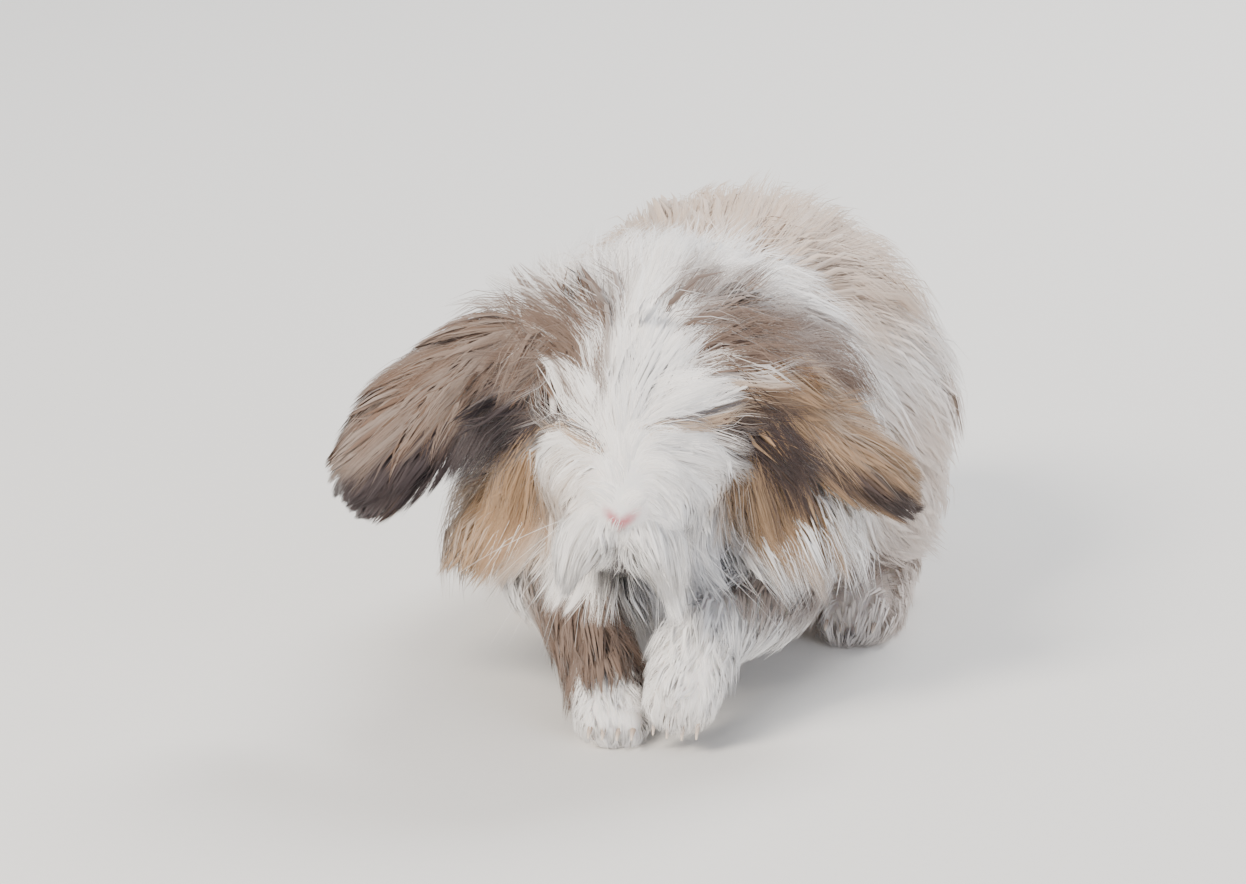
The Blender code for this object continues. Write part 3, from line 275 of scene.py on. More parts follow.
# How far roots are sunk, and the least height over the floor of a hair's middle and of its sides
ROOT_DEPTH, LEAST_HEIGHT, OVER_FLOOR = 0.08, 0.06, 0.02
# Shares by which length and width differ from hair to hair: the least and the range
LENGTHS, WIDTHS = (0.7, 0.4), (0.6, 0.8)
# A hair's width from root to tip: at the root, and what is added by its share and that squared
SWELL = (0.6, 1.6, -1.9)
# Shares of the coat's depth that the tips of tufts and of hairs stand at: the least and the most
TUFT_HEIGHTS, HAIR_HEIGHTS = (0.4, 0.95), (0.45, 1.0)
# How far hairs stray, and how many of them stand how much higher
STRAY_TURN, STRAY_SHARE, STRAY_RISE = 0.06, 0.05, 1.2
# How soon a hair rises to its height, how far it is stretched to reach it, and when it hangs free
RISE, STRETCH, FREE = 2.2, 1.3, 0.25
# The cosine of the sharpest turn that a hair takes from one ring to the next
LEAST_BEND = 0.7
# How strongly a lock pulls: the least, the range, how it grows to the tip, and the most
PULL_LEAST, PULL_RANGE, PULL_GROWTH, PULL_MOST = 0.5, 0.8, 1.4, 0.9
# Hair that hangs: how much longer it is, how much further it sags and how much less it follows
HUNG_LONGER, HUNG_SAG, HUNG_FREE = 1.3, 0.5, 0.6
# The lips' hair: its share at the nose, from where to where it grows longer, and the parting
LIP_SHORTEST, LIP_LONGER, LIP_PARTED = 0.16, (0.5, 1.6), 0.62
# From where to where the lie changes: along the body to the chest; up over the parting, across the
# brow's middle, and up and across for the muzzle and for the bridge, as they are seen
CHEST_ALONG = (-3.0, -5.5)
BROW_OVER, BROW_ACROSS = (-0.15, 0.15), (0.6, -0.6)
MUZZLE_UP, MUZZLE_ACROSS = (2.4, 1.6), (2.4, 1.4)
BRIDGE_ACROSS, BRIDGE_UNDER, BRIDGE_OVER = (1.1, 0.1), (3.6, 2.4), (-0.1, 0.5)
# The same in the head's frame: away from an ear's root, along, out and up for the hair near ears
EAR_AWAY, EAR_ALONG, EAR_BEHIND = (3.2, 1.2), (4.6, 6.2), (8.8, 7.5)
EAR_OUT, EAR_UP = (0.8, 2.3), (0.6, 1.6)
# Down and along for what hangs below the eyes and behind them, and beside the mouth
HUNG_DOWN, HUNG_ALONG, BEHIND_ALONG, BEHIND_DOWN = (0.5, -0.9), (1.6, 2.8), (4.8, 6.0), (2.1, 0.9)
MOUTH_BESIDE, MOUTH_DOWN = (1.2, 0.3), (-0.3, -0.9)
PARTED_BESIDE, PARTED_DOWN = (0.95, 0.3), (-0.4, -0.9)
# The way that the hair of the thighs and of the chin lies
THIGH_WAY, CHIN_WAY = (0.0, 0.75, -0.75), (0.0, -0.3, -1.0)
# How near the floor the long hair may hang, there and at the rump, and how short that may make it
LEAST_TIP, LEAST_TIP_BEHIND, LEAST_LENGTH = 2.3, 0.9, 0.9
REAR_ALONG = (8.0, 11.0)
# Half the width of a lock, how round it is lit, and how much a hair is lit by its own sides
LOCK_HALF, LOCK_ROUND, OWN_SHADE = 0.35, 0.5, 0.42
# How far upwards the undersides of hairs are lit from, for the light that shines through them
UNDER_SHADE = 0.6
# Width of the streaks that a tuft shows
STREAK = 0.03
PIGMENTS = ("cream", "tan", "taupe", "dark")
HAIR_ARRAYS = ("ways", "faces", "widths", "uvs", "roots")

# How far off the face is seen from, and the parting through both eyes, seen from there
SEEN_REACH = 220.0
PARTING_UP, PARTING_MIDDLE, PARTING_RISE = 2.9, 0.3, 0.38
# The markings as they are seen from there. The blaze: heights, its middle and half its width
BLAZE_UP = (3.4, 4.7, 7.2, 8.3, 9.0)
BLAZE_MIDDLE = (1.8, 1.6, 1.2, 1.15, 1.15)
BLAZE_HALF = (2.7, 2.4, 1.6, 0.8, -0.3)
# Stripes, each from, to and half its width: white locks over the eyes, the slits of the eyes, the
# tan under them and the dark lower edges of the ears, these with how dark they are
BROW_LOCKS = (
    ((-0.9, 2.9), (-1.5, 5.1), 0.34),
    ((-1.5, 5.1), (-0.6, 6.8), 0.24),
    ((-1.6, 3.3), (-2.6, 5.3), 0.3),
    ((-2.6, 5.3), (-2.9, 6.3), 0.18),
    ((1.2, 3.9), (5.0, 4.7), 0.45),
)
EYE_SLITS = (((-3.6, 3.85), (-0.9, 2.95), 0.2), ((2.6, 3.4), (4.6, 4.2), 0.13))
UNDER_EYES = (((-3.5, 3.5), (-1.2, 2.75), 0.22), ((2.8, 3.1), (4.8, 3.8), 0.22))
EAR_EDGES = {
    "ear_left": (((5.8, 2.3), (9.6, 0.2), 0.5, 0.9),),
    "ear_right": (((-9.6, 0.4), (-5.4, 1.9), 0.85, 0.95), ((-5.4, 1.9), (-3.6, 3.6), 0.8, 0.6)),
}
# Blobs, each its middle and half its size: tan cheeks, painted shade in the hollows under the ears,
# streaks of the jaw, painted shadow in the gap under the lips, the tan side of the ruff and the brown
# fringe of the left elbow
CHEEKS = (((-4.7, 0.3), (2.7, 1.65)), ((5.5, 0.3), (2.1, 1.6)), ((6.6, 3.1), (2.4, 1.9)))
PAINTED_SHADE_UNDER_EARS = (((-4.7, 3.0), (1.6, 1.5)), ((5.3, 2.1), (1.1, 1.7)))
JAW_STREAKS = (-2.7, -1.3), (0.7, 0.5)
PAINTED_SHADOW_UNDER_LIPS = (0.1, -1.8), (0.85, 0.75)
RUFF_SIDE = (-5.7, 0.2), (1.6, 2.0)
ELBOW_FRINGE = (5.2, -3.1), (1.9, 1.1)
BLOB_EDGE = 0.35
# How the waves are turned that the markings' edges follow
RIPPLE_TURN = np.array(((0.8, 0.36, -0.48), (-0.6, 0.48, -0.64), (0.0, 0.8, 0.6)))
# The size of those waves and how far they shift an edge, and the mottle's and the streaks' waves
EDGE_WAVE, EDGE_SHIFT = 2.2, 0.25
MOTTLE_SIZE, MOTTLE_EDGE, STREAKS_SIZE, STREAKS_EDGE = 1.3, (-0.3, 0.6), 0.8, (-0.2, 0.4)
# From where to where markings and painted shade set in: along the body, over the floor, and away from the
# viewer
RUMP_ALONG, RUMP_UP = (-1.5, 2.5), (9.0, 11.5)
FLANK_ALONG, FLANK_UP = (-2.5, 2.0), (11.0, 7.0)
BROWN_FORELEG, BROWN_FOREPAW = (-9.6, -10.9), (-12.9, -11.6)
CHIN_PAINTED_SHADE, CROWN_UP, CROWN_TOP = (-2.6, -1.6), (3.6, 4.6), (0, -1.2)
FACE_AWAY, RUFF_AWAY, PAINTED_SHADOW_AWAY = (14.5, 12.0), (11.5, 9.0), (9.5, 7.5)


def linear(colour):
    """A colour of the screen, as #RRGGBB, turned to the linear values that the shaders take."""
    parts = [int(colour[k : k + 2], 16) / 255 for k in (1, 3, 5)]
    return tuple(c / 12.92 if c <= 0.04045 else ((c + 0.055) / 1.055) ** 2.4 for c in parts)


def head_frame():
    """The head's own frame in the rabbit's: the origin is the nose tip and -Y is where it looks."""
    turn = Matrix.Rotation(HEAD_YAW, 4, "Z") @ Matrix.Rotation(HEAD_ROLL, 4, "Y")
    return Matrix.Translation(NOSE_TIP) @ turn @ Matrix.Rotation(HEAD_PITCH, 4, "X")


def view_turn(azimuth, elevation):
    """How a camera is turned that looks at the rabbit from there."""
    return Matrix.Rotation(azimuth, 3, "Z") @ Matrix.Rotation(math.pi / 2 - elevation, 3, "X")


def frame_shift():
    """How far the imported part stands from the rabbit's own place, in metres, read at an eye."""
    low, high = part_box("eye_left")
    return (low + high) / 2 - (head_frame() @ EYE_PLACE) * CM


SHIFT = frame_shift()
RABBIT_TO_HEAD = np.linalg.inv(np.array(head_frame()))
SEEN_AXES = np.array(view_turn(VIEW_AZIMUTH, VIEW_ELEVATION))


def metres(points):
    """Points of the rabbit in centimetres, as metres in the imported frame."""
    return np.asarray(points) * CM + np.array(SHIFT)


def to_head(points):
    """Points of the rabbit in the head's own frame."""
    return points @ RABBIT_TO_HEAD[:3, :3].T + RABBIT_TO_HEAD[:3, 3]


def unit(ways):
    """The ways with their lengths made 1."""
    return ways / np.maximum(np.linalg.norm(ways, axis=-1, keepdims=True), 1e-9)


def mirrored(stations):
    """The stations of the same limb on the right."""
    return tuple((-s[0], *s[1:]) for s in stations)


def sided(place, side):
    """A place of the left side for 1, and its mirror image on the right for -1."""
    return Vector((side * place[0], place[1], place[2]))


def round_station(place, radius):
    """A station of a limb that is as wide as it is high."""
    return (*place, radius, radius, radius)


def smooth_rows(rows, steps):
    """The rows with more between them, on a Catmull-Rom curve through every number."""
    rows = np.array(rows, float)
    ends = np.vstack([rows[:1], rows, rows[-1:]])
    found = []
    for k in range(len(rows) - 1):
        a, b, c, d = ends[k : k + 4]
        for t in np.arange(steps) / steps:
            bend = (c - a) * t + (2 * a - 5 * b + 4 * c - d) * t**2
            found.append(0.5 * (2 * b + bend + (3 * b - a - 3 * c + d) * t**3))
    return np.array([*found, rows[-1]])


def turns(count):
    """So many angles, evenly round a circle."""
    return np.arange(count) * math.tau / count


def closed_rings(rings, first_pole=None, last_pole=None, joined=False):
    """A bmesh through the rings of points, closed at both ends or joined end to end."""
    shape = bmesh.new()
    loops = [[shape.verts.new(point) for point in ring] for ring in rings]
    for before, after in zip(loops, loops[1:] + loops[:1] if joined else loops[1:]):
        for k in range(len(before)):
            j = (k + 1) % len(before)
            shape.faces.new((before[k], before[j], after[j], after[k]))
    for loop, pole in () if joined else ((loops[0], first_pole), (loops[-1], last_pole)):
        if pole is None:
            shape.faces.new(loop)
            continue
        tip = shape.verts.new(pole)
        for k in range(len(loop)):
            shape.faces.new((loop[k], loop[(k + 1) % len(loop)], tip))
    bmesh.ops.recalc_face_normals(shape, faces=shape.faces)
    return shape


def limb(stations, sides=28, steps=6, place=None, top=UP):
    """A round closed body through the stations."""
    place = place or Matrix.Identity(4)
    rows = smooth_rows(stations, steps)
    places = [place @ Vector(row[:3]) for row in rows]
    top = (place.to_3x3() @ top).normalized()
    rings = []
    for k, row in enumerate(rows):
        along = (places[min(k + 1, len(rows) - 1)] - places[max(k - 1, 0)]).normalized()
        across = along.cross(top).normalized()
        upward = across.cross(along)
        ring = []
        for angle in turns(sides):
            rise = math.sin(angle) * (row[4] if math.sin(angle) > 0 else row[5])
            ring.append(places[k] + across * math.cos(angle) * row[3] + upward * rise)
        rings.append(ring)
    first = places[0] + (places[0] - places[1]).normalized() * rows[0][3] * END_BULGE
    last = places[-1] + (places[-1] - places[-2]).normalized() * rows[-1][3] * END_BULGE
    return closed_rings(rings, first, last)


def ball(centre, radii, place=None, sides=28, rows=16):
    """A round body whose radii run along the axes of its own frame."""
    place = (place or Matrix.Identity(4)) @ Matrix.Translation(centre) @ Matrix.Diagonal((*radii, 1.0))
    rings = []
    for row in range(1, rows):
        around, height = math.sin(math.pi * row / rows), math.cos(math.pi * row / rows)
        circle = [(around * math.cos(a), around * math.sin(a), height) for a in turns(sides)]
        rings.append([place @ Vector(point) for point in circle])
    return closed_rings(rings, place @ UP, place @ -UP)


def ear_sections(root, rib, faces):
    """Along the midrib: place, the way across the flap, the outer way, half width and cup."""
    rows = [(*point, w, c) for point, w, c in zip(rib, EAR_HALF_WIDTHS, EAR_CUPS)]
    rows = smooth_rows(rows, 6)
    places = [root + Vector(row[:3]) for row in rows]
    sections = []
    for k, row in enumerate(rows):
        along = (places[min(k + 1, len(rows) - 1)] - places[max(k - 1, 0)]).normalized()
        across = along.cross(faces).normalized()
        outward = across.cross(along).normalized()
        sections.append((places[k], across, outward, row[3], row[4]))
    return sections


def ear_flap(root, rib, faces):
    """A cupped leaf: convex on its outer face and hollow on its inner one."""
    rings = []
    sections = ear_sections(root, rib, faces)
    for place, across, outward, half, cup in sections:
        middle = [place + across * half * j + outward * cup * (1 - j * j) for j in EAR_SPREAD]
        inner = [point - outward * EAR_THICKNESS / 2 for point in reversed(middle)]
        rings.append([point + outward * EAR_THICKNESS / 2 for point in middle] + inner)
    before, last = sections[-2][0], sections[-1][0]
    return closed_rings(rings, None, last + (last - before).normalized() * EAR_POINT)


def toe_rows(stations, way):
    """The stations of each toe of a paw: from inside the paw to just past its end."""
    end = Vector(stations[-1][:3])
    across = way.cross(UP).normalized()
    half = stations[-1][3] * TOE_ACROSS
    toes = []
    for share in TOE_SHARES:
        start = end + across * half * share - way * TOE_INSIDE
        tip = end + across * (half * share * TOE_SPREAD) + way * (TOE_REACH - OUTER_TOE * abs(share))
        start.z, tip.z = max(start.z, TOE_ROOT + TOE_CLEAR), max(tip.z, TOE_END + TOE_CLEAR)
        toes.append((round_station(start, TOE_ROOT), round_station(tip, TOE_END)))
    return toes


PAWS = {
    "forepaw_left": (FOREPAW_LEFT, Vector((-0.05, -0.5, -0.85)).normalized()),
    "forepaw_right": (FOREPAW_RIGHT, Vector((0.12, -0.99, -0.05)).normalized()),
    "hindfoot_left": (HIND_FOOT, Vector((0.05, -1.0, 0.0)).normalized()),
    "hindfoot_right": (mirrored(HIND_FOOT), Vector((-0.05, -1.0, 0.0)).normalized()),
}


def flesh():
    """The closed bodies of the flesh, by name, in centimetres."""
    head = head_frame()
    made = {
        "torso": limb(TORSO, 40),
        "neck": limb(NECK, 32),
        "head": limb(HEAD, 40, 6, head),
        "tail": limb(TAIL, top=Vector((1, 0, 0))),
        "foreleg_left": limb(FORELEG_LEFT),
        "foreleg_right": limb(FORELEG_RIGHT),
        **{f"ear_{word}": ear_flap(head @ root, rib, faces) for word, root, rib, faces in EARS},
        "chin": ball(CHIN_PLACE, CHIN_RADII, head),
    }
    for name, (stations, way) in PAWS.items():
        made[name] = limb(stations)
        for k, rows in enumerate(toe_rows(stations, way)):
            made[f"{name}_toe_{k}"] = limb(rows, 12, 4)
    for word, side in SIDES.items():
        made[f"lip_{word}"] = ball(sided(LIP_PLACE, side), LIP_RADII, head)
        made[f"cheek_{word}"] = ball(sided(CHEEK_PLACE, side), CHEEK_RADII, head)
        made[f"thigh_{word}"] = ball(sided(THIGH_CENTRE, side), THIGH_RADII)
        made[f"shoulder_{word}"] = ball(sided(SHOULDER_CENTRE, side), SHOULDER_RADII)
    return made


def mesh_from(shapes):
    """One mesh in metres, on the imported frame, out of closed shapes in centimetres."""
    whole = bmesh.new()
    for shape in shapes:
        piece = bpy.data.meshes.new("piece")
        shape.to_mesh(piece)
        whole.from_mesh(piece)
        bpy.data.meshes.remove(piece)
    mesh = bpy.data.meshes.new("whole")
    whole.to_mesh(mesh)
    whole.free()
    mesh.transform(Matrix.Translation(SHIFT) @ Matrix.Scale(CM, 4))
    return mesh


def linked(name, mesh):
    """A new object of the scene with that mesh, light or camera."""
    made = bpy.data.objects.new(name, mesh)
    bpy.context.scene.collection.objects.link(made)
    return made


def evaluated(obj):
    """The object's mesh as its modifiers leave it; the object itself is removed."""
    graph = bpy.context.evaluated_depsgraph_get()
    mesh = bpy.data.meshes.new_from_object(obj.evaluated_get(graph))
    bpy.data.objects.remove(obj)
    return mesh


def fused(shapes, face, smoothing, cutters=()):
    """One smooth closed surface round all the shapes, with the cutters' space taken out."""
    obj = linked("fused", mesh_from(shapes))
    remesh = obj.modifiers.new("faces", "REMESH")
    remesh.mode = "VOXEL"
    remesh.voxel_size = face
    if cutters:
        cutter = linked("cutter", mesh_from(cutters))
        cut = obj.modifiers.new("cut", "BOOLEAN")
        cut.operation = "DIFFERENCE"
        cut.object = cutter
    smooth = obj.modifiers.new("smooth", "SMOOTH")
    smooth.factor = 0.5
    smooth.iterations = smoothing
    mesh = evaluated(obj)
    if cutters:
        bpy.data.objects.remove(cutter)
    return mesh


def rows_of(values, word, width, kind=np.float32):
    """The numbers that each part of a mesh holds under a word."""
    found = np.zeros(len(values) * width, kind)
    values.foreach_get(word, found)
    return found.reshape(-1, width)


def points_of(mesh):
    """The corner points of a mesh in centimetres, in the rabbit's own place."""
    return (rows_of(mesh.vertices, "co", 3).astype(float) - np.array(SHIFT)) / CM


def set_points(mesh, word, values):
    """Gives a mesh one value at each point, under a word that its material reads."""
    made = mesh.attributes.new(word, "FLOAT", "POINT")
    made.data.foreach_set("value", np.asarray(values, np.float32))


class Surface:
    """The skin as the coat sees it: where it is, which way it faces and its unwrap."""

    def __init__(self, mesh):
        mesh.calc_loop_triangles()
        self.points = points_of(mesh)
        self.corners = rows_of(mesh.loop_triangles, "vertices", 3, np.int32)
        self.loops = rows_of(mesh.loop_triangles, "loops", 3, np.int32)
        self.uvs = rows_of(mesh.uv_layers["OFBake"].data, "uv", 2)
        self.normals = rows_of(mesh.vertices, "normal", 3)
        self.tree = BVHTree.FromPolygons(self.points.tolist(), self.corners.tolist())

    def nearest(self, places):
        """The nearest points of the skin, the triangles that they are in and how far they are."""
        found = [self.tree.find_nearest(place) for place in places.tolist()]
        spots = np.array([hit[0] for hit in found])
        index = np.array([hit[2] for hit in found])
        away = np.array([hit[3] for hit in found])
        return spots, index, away

    def shares(self, spots, index):
        """How much each corner of its triangle counts at a spot."""
        a, b, c = (self.points[self.corners[index, k]] for k in range(3))
        whole = np.linalg.norm(np.cross(b - a, c - a), axis=1)
        first = np.linalg.norm(np.cross(b - spots, c - spots), axis=1)
        second = np.linalg.norm(np.cross(c - spots, a - spots), axis=1)
        found = np.stack([first, second, np.maximum(whole - first - second, 0)], 1)
        return found / np.maximum(found.sum(1, keepdims=True), 1e-12)

    def facing(self, spots, index):
        """The smooth way out of the skin at the spots."""
        weights = self.shares(spots, index)[:, :, None]
        return unit((self.normals[self.corners[index]] * weights).sum(1))

    def unwrap(self, spots, index):
        """Where the spots are on the skin's unwrap."""
        weights = self.shares(spots, index)[:, :, None]
        return (self.uvs[self.loops[index]] * weights).sum(1)


def sampled(shape, density, draw):
    """Points spread at random over a shape, so many to the square centimetre."""
    bmesh.ops.triangulate(shape, faces=shape.faces[:])
    points = np.array([v.co for v in shape.verts])
    shape.verts.index_update()
    corners = np.array([[v.index for v in face.verts] for face in shape.faces])
    a, b, c = (points[corners[:, k]] for k in range(3))
    areas = np.linalg.norm(np.cross(b - a, c - a), axis=1) / 2
    count = int(areas.sum() * density)
    chosen = draw.choice(len(areas), count, p=areas / areas.sum())
    r, s = np.sqrt(draw.random(count))[:, None], draw.random(count)[:, None]
    return a[chosen] * (1 - r) + b[chosen] * (r * (1 - s)) + c[chosen] * (r * s)


def smoothstep(low, high, value):
    """From 0 at the first value to 1 at the second, with soft ends."""
    t = np.clip((value - low) / (high - low), 0, 1)
    return t * t * (3 - 2 * t)


def ripple(points, size):
    """Slow variation from -1 to 1 over a given size, the same at the same place."""
    turned = points @ RIPPLE_TURN
    p, q = turned * (math.tau / size), turned[:, ::-1] * (math.tau / size * 1.7)
    waves = np.sin(p[:, 0] + 1.3 * np.sin(p[:, 1])) + np.sin(p[:, 1] + 1.1 * np.sin(p[:, 2]))
    return (waves + np.sin(q[:, 0] + np.sin(q[:, 2]))) / 3


def blob(across, up, centre, radii):
    """1 inside a round patch of the coat as it is seen from in front, and 0 outside it."""
    away = np.hypot((across - centre[0]) / radii[0], (up - centre[1]) / radii[1])
    return 1 - smoothstep(1 - BLOB_EDGE, 1 + BLOB_EDGE, away)


def from_line(points, start, end):
    """How far points are from the straight line between two places."""
    start, whole = np.array(start), np.subtract(end, start)
    along = np.clip((points - start) @ whole / (whole @ whole), 0, 1)
    return np.linalg.norm(points - start - along[:, None] * whole, axis=1)


def stripe(across, up, start, end, half):
    """1 along a straight stripe of the coat as it is seen from in front, with soft sides and ends."""
    away = from_line(np.stack([across, up], 1), start, end)
    return 1 - smoothstep(0.6 * half, 1.4 * half, away)


def most(shape, across, up, places):
    """The most that any of the blobs or stripes gives at each place."""
    return np.max([shape(across, up, *place) for place in places], axis=0)


def blended(first, second, share):
    """From the first ways to the second, by each place's share."""
    return first * (1 - share[:, None]) + second * share[:, None]


def ways_of(across, along, up):
    """Ways with these parts, each an array or one number for all."""
    return np.stack(np.broadcast_arrays(across, along, up), 1)


def torso_lie(points, normals):
    """Back over the spine and down the flanks; in front it hangs over the forelegs."""
    side = np.minimum(1.0, np.abs(normals[:, 0]) * 1.15)
    front = smoothstep(*CHEST_ALONG, points[:, 1])
    out = (0.10 + 0.25 * front) * normals[:, 0]
    back = (1.0 - 0.55 * side) * (1 - front) - 0.15 * front
    return ways_of(out, back, -0.12 - 0.85 * np.maximum(side, front))


def neck_lie(points, normals):
    """The ruff stands out more to the sides and falls over the chest in front."""
    front = np.maximum(0.0, -normals[:, 1])
    side = np.abs(normals[:, 0])
    return ways_of(0.45 * normals[:, 0], 0.8 - 1.1 * front, -0.25 - 0.6 * side - front)


def seen(points):
    """Places as they are seen from in front of the face: across and up from the nose tip, and back."""
    across, up, near = ((points - np.array(NOSE_TIP)) @ SEEN_AXES).T
    reach = 1 - near / SEEN_REACH
    return across / reach, up / reach, -near


def parting(across):
    """How high the parting of the hair runs through both eyes, as it is seen from in front."""
    return PARTING_UP + PARTING_RISE * np.clip(np.abs(across - PARTING_MIDDLE) - 1.0, 0, 3.0)


def head_lie(points, normals):
    """Fanned out from between the eyes over the brow, and hanging from the cheeks and jaw."""
    across, up, _ = seen(points)
    local = to_head(points)
    return near_ears(blended(unit(fanned(across, up)), unit(hung(local)), hangs(local)), local)


def fanned(across, up):
    """The fan of the brow, the hair over the bridge of the nose and the muzzle's, as seen."""
    brow = smoothstep(*BROW_OVER, up - parting(across))
    start = PARTING_UP - 1.1 * brow * smoothstep(*BROW_ACROSS, across)
    fan = unit(np.stack([across + 0.1 + 0.12 * brow * (up - 3), up - start], 1))
    sides = np.clip(across / 0.8, -1, 1)
    muzzle = smoothstep(*MUZZLE_UP, up) * smoothstep(*MUZZLE_ACROSS, np.abs(across))
    fan = blended(fan, np.stack([0.75 * sides, np.full(len(up), -0.7)], 1), muzzle)
    bridge = smoothstep(*BRIDGE_ACROSS, np.abs(across))
    bridge = bridge * smoothstep(*BRIDGE_UNDER, up) * smoothstep(*BRIDGE_OVER, up)
    fan = blended(fan, np.stack([0.5 * sides, np.full(len(up), 0.9)], 1), bridge)
    return fan @ SEEN_AXES[:, :2].T - SEEN_AXES[:, 2] * 0.45


def hung(local):
    """The way of the hair that hangs from the cheeks and jaw."""
    return ways_of(0.35 * np.clip(local[:, 0] / 0.6, -1, 1), -0.1, -1.0)


def near_ears(way, local):
    """The way of the head's hair, turned to lie along each ear near its root."""
    for _, root, rib, _ in EARS:
        near = smoothstep(*EAR_AWAY, np.linalg.norm(local - np.array(root), axis=1))
        near = near * smoothstep(*EAR_ALONG, local[:, 1]) * smoothstep(*EAR_BEHIND, local[:, 1])
        near = near * smoothstep(*EAR_OUT, np.abs(local[:, 0])) * smoothstep(*EAR_UP, local[:, 2])
        way = blended(way, unit(np.array(rib[2])), near)
    return way


def hangs(local):
    """How far the hair at a place of the head hangs: from 0 over the eyes to 1 below them."""
    low = smoothstep(*HUNG_DOWN, local[:, 2]) * smoothstep(*HUNG_ALONG, local[:, 1])
    behind = smoothstep(*BEHIND_ALONG, local[:, 1]) * smoothstep(*BEHIND_DOWN, local[:, 2])
    return np.maximum(low, behind)


def lip_lie(points, normals):
    """Outwards and down, like a moustache, and further out beside the mouth."""
    local = to_head(points)
    beside = smoothstep(*MOUTH_BESIDE, np.abs(local[:, 0])) * smoothstep(*MOUTH_DOWN, local[:, 2])
    return ways_of(np.where(local[:, 0] > 0, 1, -1) * (0.42 + 0.75 * beside), -0.25, -1.0)


def tail_lie(points, normals):
    """Up and back, and out from the tail."""
    return ways_of(0.5 * normals[:, 0], 0.5, 0.7 + 0.4 * normals[:, 2])


def even_lie(way):
    """The same way all over a body."""

    def lie(points, normals):
        return np.tile(way, (len(points), 1))

    return lie


def limb_lie(stations):
    """Along a limb to its end, and a little downwards."""
    return even_lie(unit(np.subtract(stations[-1][:3], stations[0][:3])) + np.array((0, 0, -0.2)))


def ear_lie(root, rib, faces):
    """Along the flap to its tip, and out past its edges, more so near the root."""
    rib = np.array(rib)
    way = unit(rib[-1] - rib[1])
    across = unit(np.cross(way, np.array(faces)))
    start = np.array(head_frame() @ root)

    def lie(points, normals):
        spread = 1.0 - 0.075 * np.linalg.norm(points - start, axis=1)
        return way + across * (spread * (normals @ across))[:, None]

    return lie


def markings(points, zone):
    """How much of each pigment the coat has at these places of a zone, and the painted shade under the
    ears, lips and chin.
    """
    count = len(points)
    made = {name: np.zeros(count) for name in PIGMENTS}
    world = points + ripple(points, EDGE_WAVE)[:, None] * EDGE_SHIFT
    across, up, back = seen(points)
    mottle = smoothstep(*MOTTLE_EDGE, ripple(points, MOTTLE_SIZE))
    if zone.startswith(("head", "cheek", "neck")):
        made.update(face_markings(world))
    elif zone in EAR_EDGES:
        low = up + 0.2 * ripple(points, 1.1)
        made["dark"] = np.max([s * stripe(across, low, *edge) for *edge, s in EAR_EDGES[zone]], axis=0)
        left = zone == "ear_left"
        made["taupe"] = 0.15 + 0.35 * mottle if left else 0.8 + 0.2 * mottle
        made["tan"] = np.full(count, 0.95 if left else 0.3)
    # The chin's colour is painted shade: dark under the lips, paler to its tip, with a little grey of
    # taupe all over
    elif zone == "chin":
        made["dark"] = 0.6 * smoothstep(*CHIN_PAINTED_SHADE, to_head(points)[:, 2])
        made["taupe"] = np.full(count, 0.2)
    elif zone == "foreleg_right":
        made["taupe"] = 0.95 * smoothstep(*BROWN_FORELEG, world[:, 1])
    elif zone == "forepaw_right":
        made["taupe"] = 0.95 * smoothstep(*BROWN_FOREPAW, world[:, 1] + 0.5 * ripple(points, 0.6))
        made["dark"] = 0.3 * made["taupe"]
    elif zone.startswith(("torso", "thigh", "shoulder", "tail", "hindfoot")):
        rump = smoothstep(*RUMP_ALONG, world[:, 1]) * smoothstep(*RUMP_UP, world[:, 2])
        flank = smoothstep(*FLANK_UP, world[:, 2]) * smoothstep(*FLANK_ALONG, world[:, 1])
        ruff = blob(across, up, *RUFF_SIDE) * smoothstep(*RUFF_AWAY, back)
        made["tan"] = np.maximum(0.4 * rump, 0.75 * ruff)
        made["cream"] = np.maximum(0.85 * flank, 0.9 * rump)
    if zone in ("foreleg_left", "shoulder_left"):
        made["taupe"] = 0.8 * blob(across, up, *ELBOW_FRINGE)
    # Painted shadow in the gap under the lips, laid over in dark
    if not zone.startswith(("lip", "fore", "ear")):
        painted_shadow = blob(across, up, *PAINTED_SHADOW_UNDER_LIPS) * smoothstep(*PAINTED_SHADOW_AWAY, back)
        made["dark"] = np.maximum(made["dark"], 0.85 * painted_shadow)
    return made


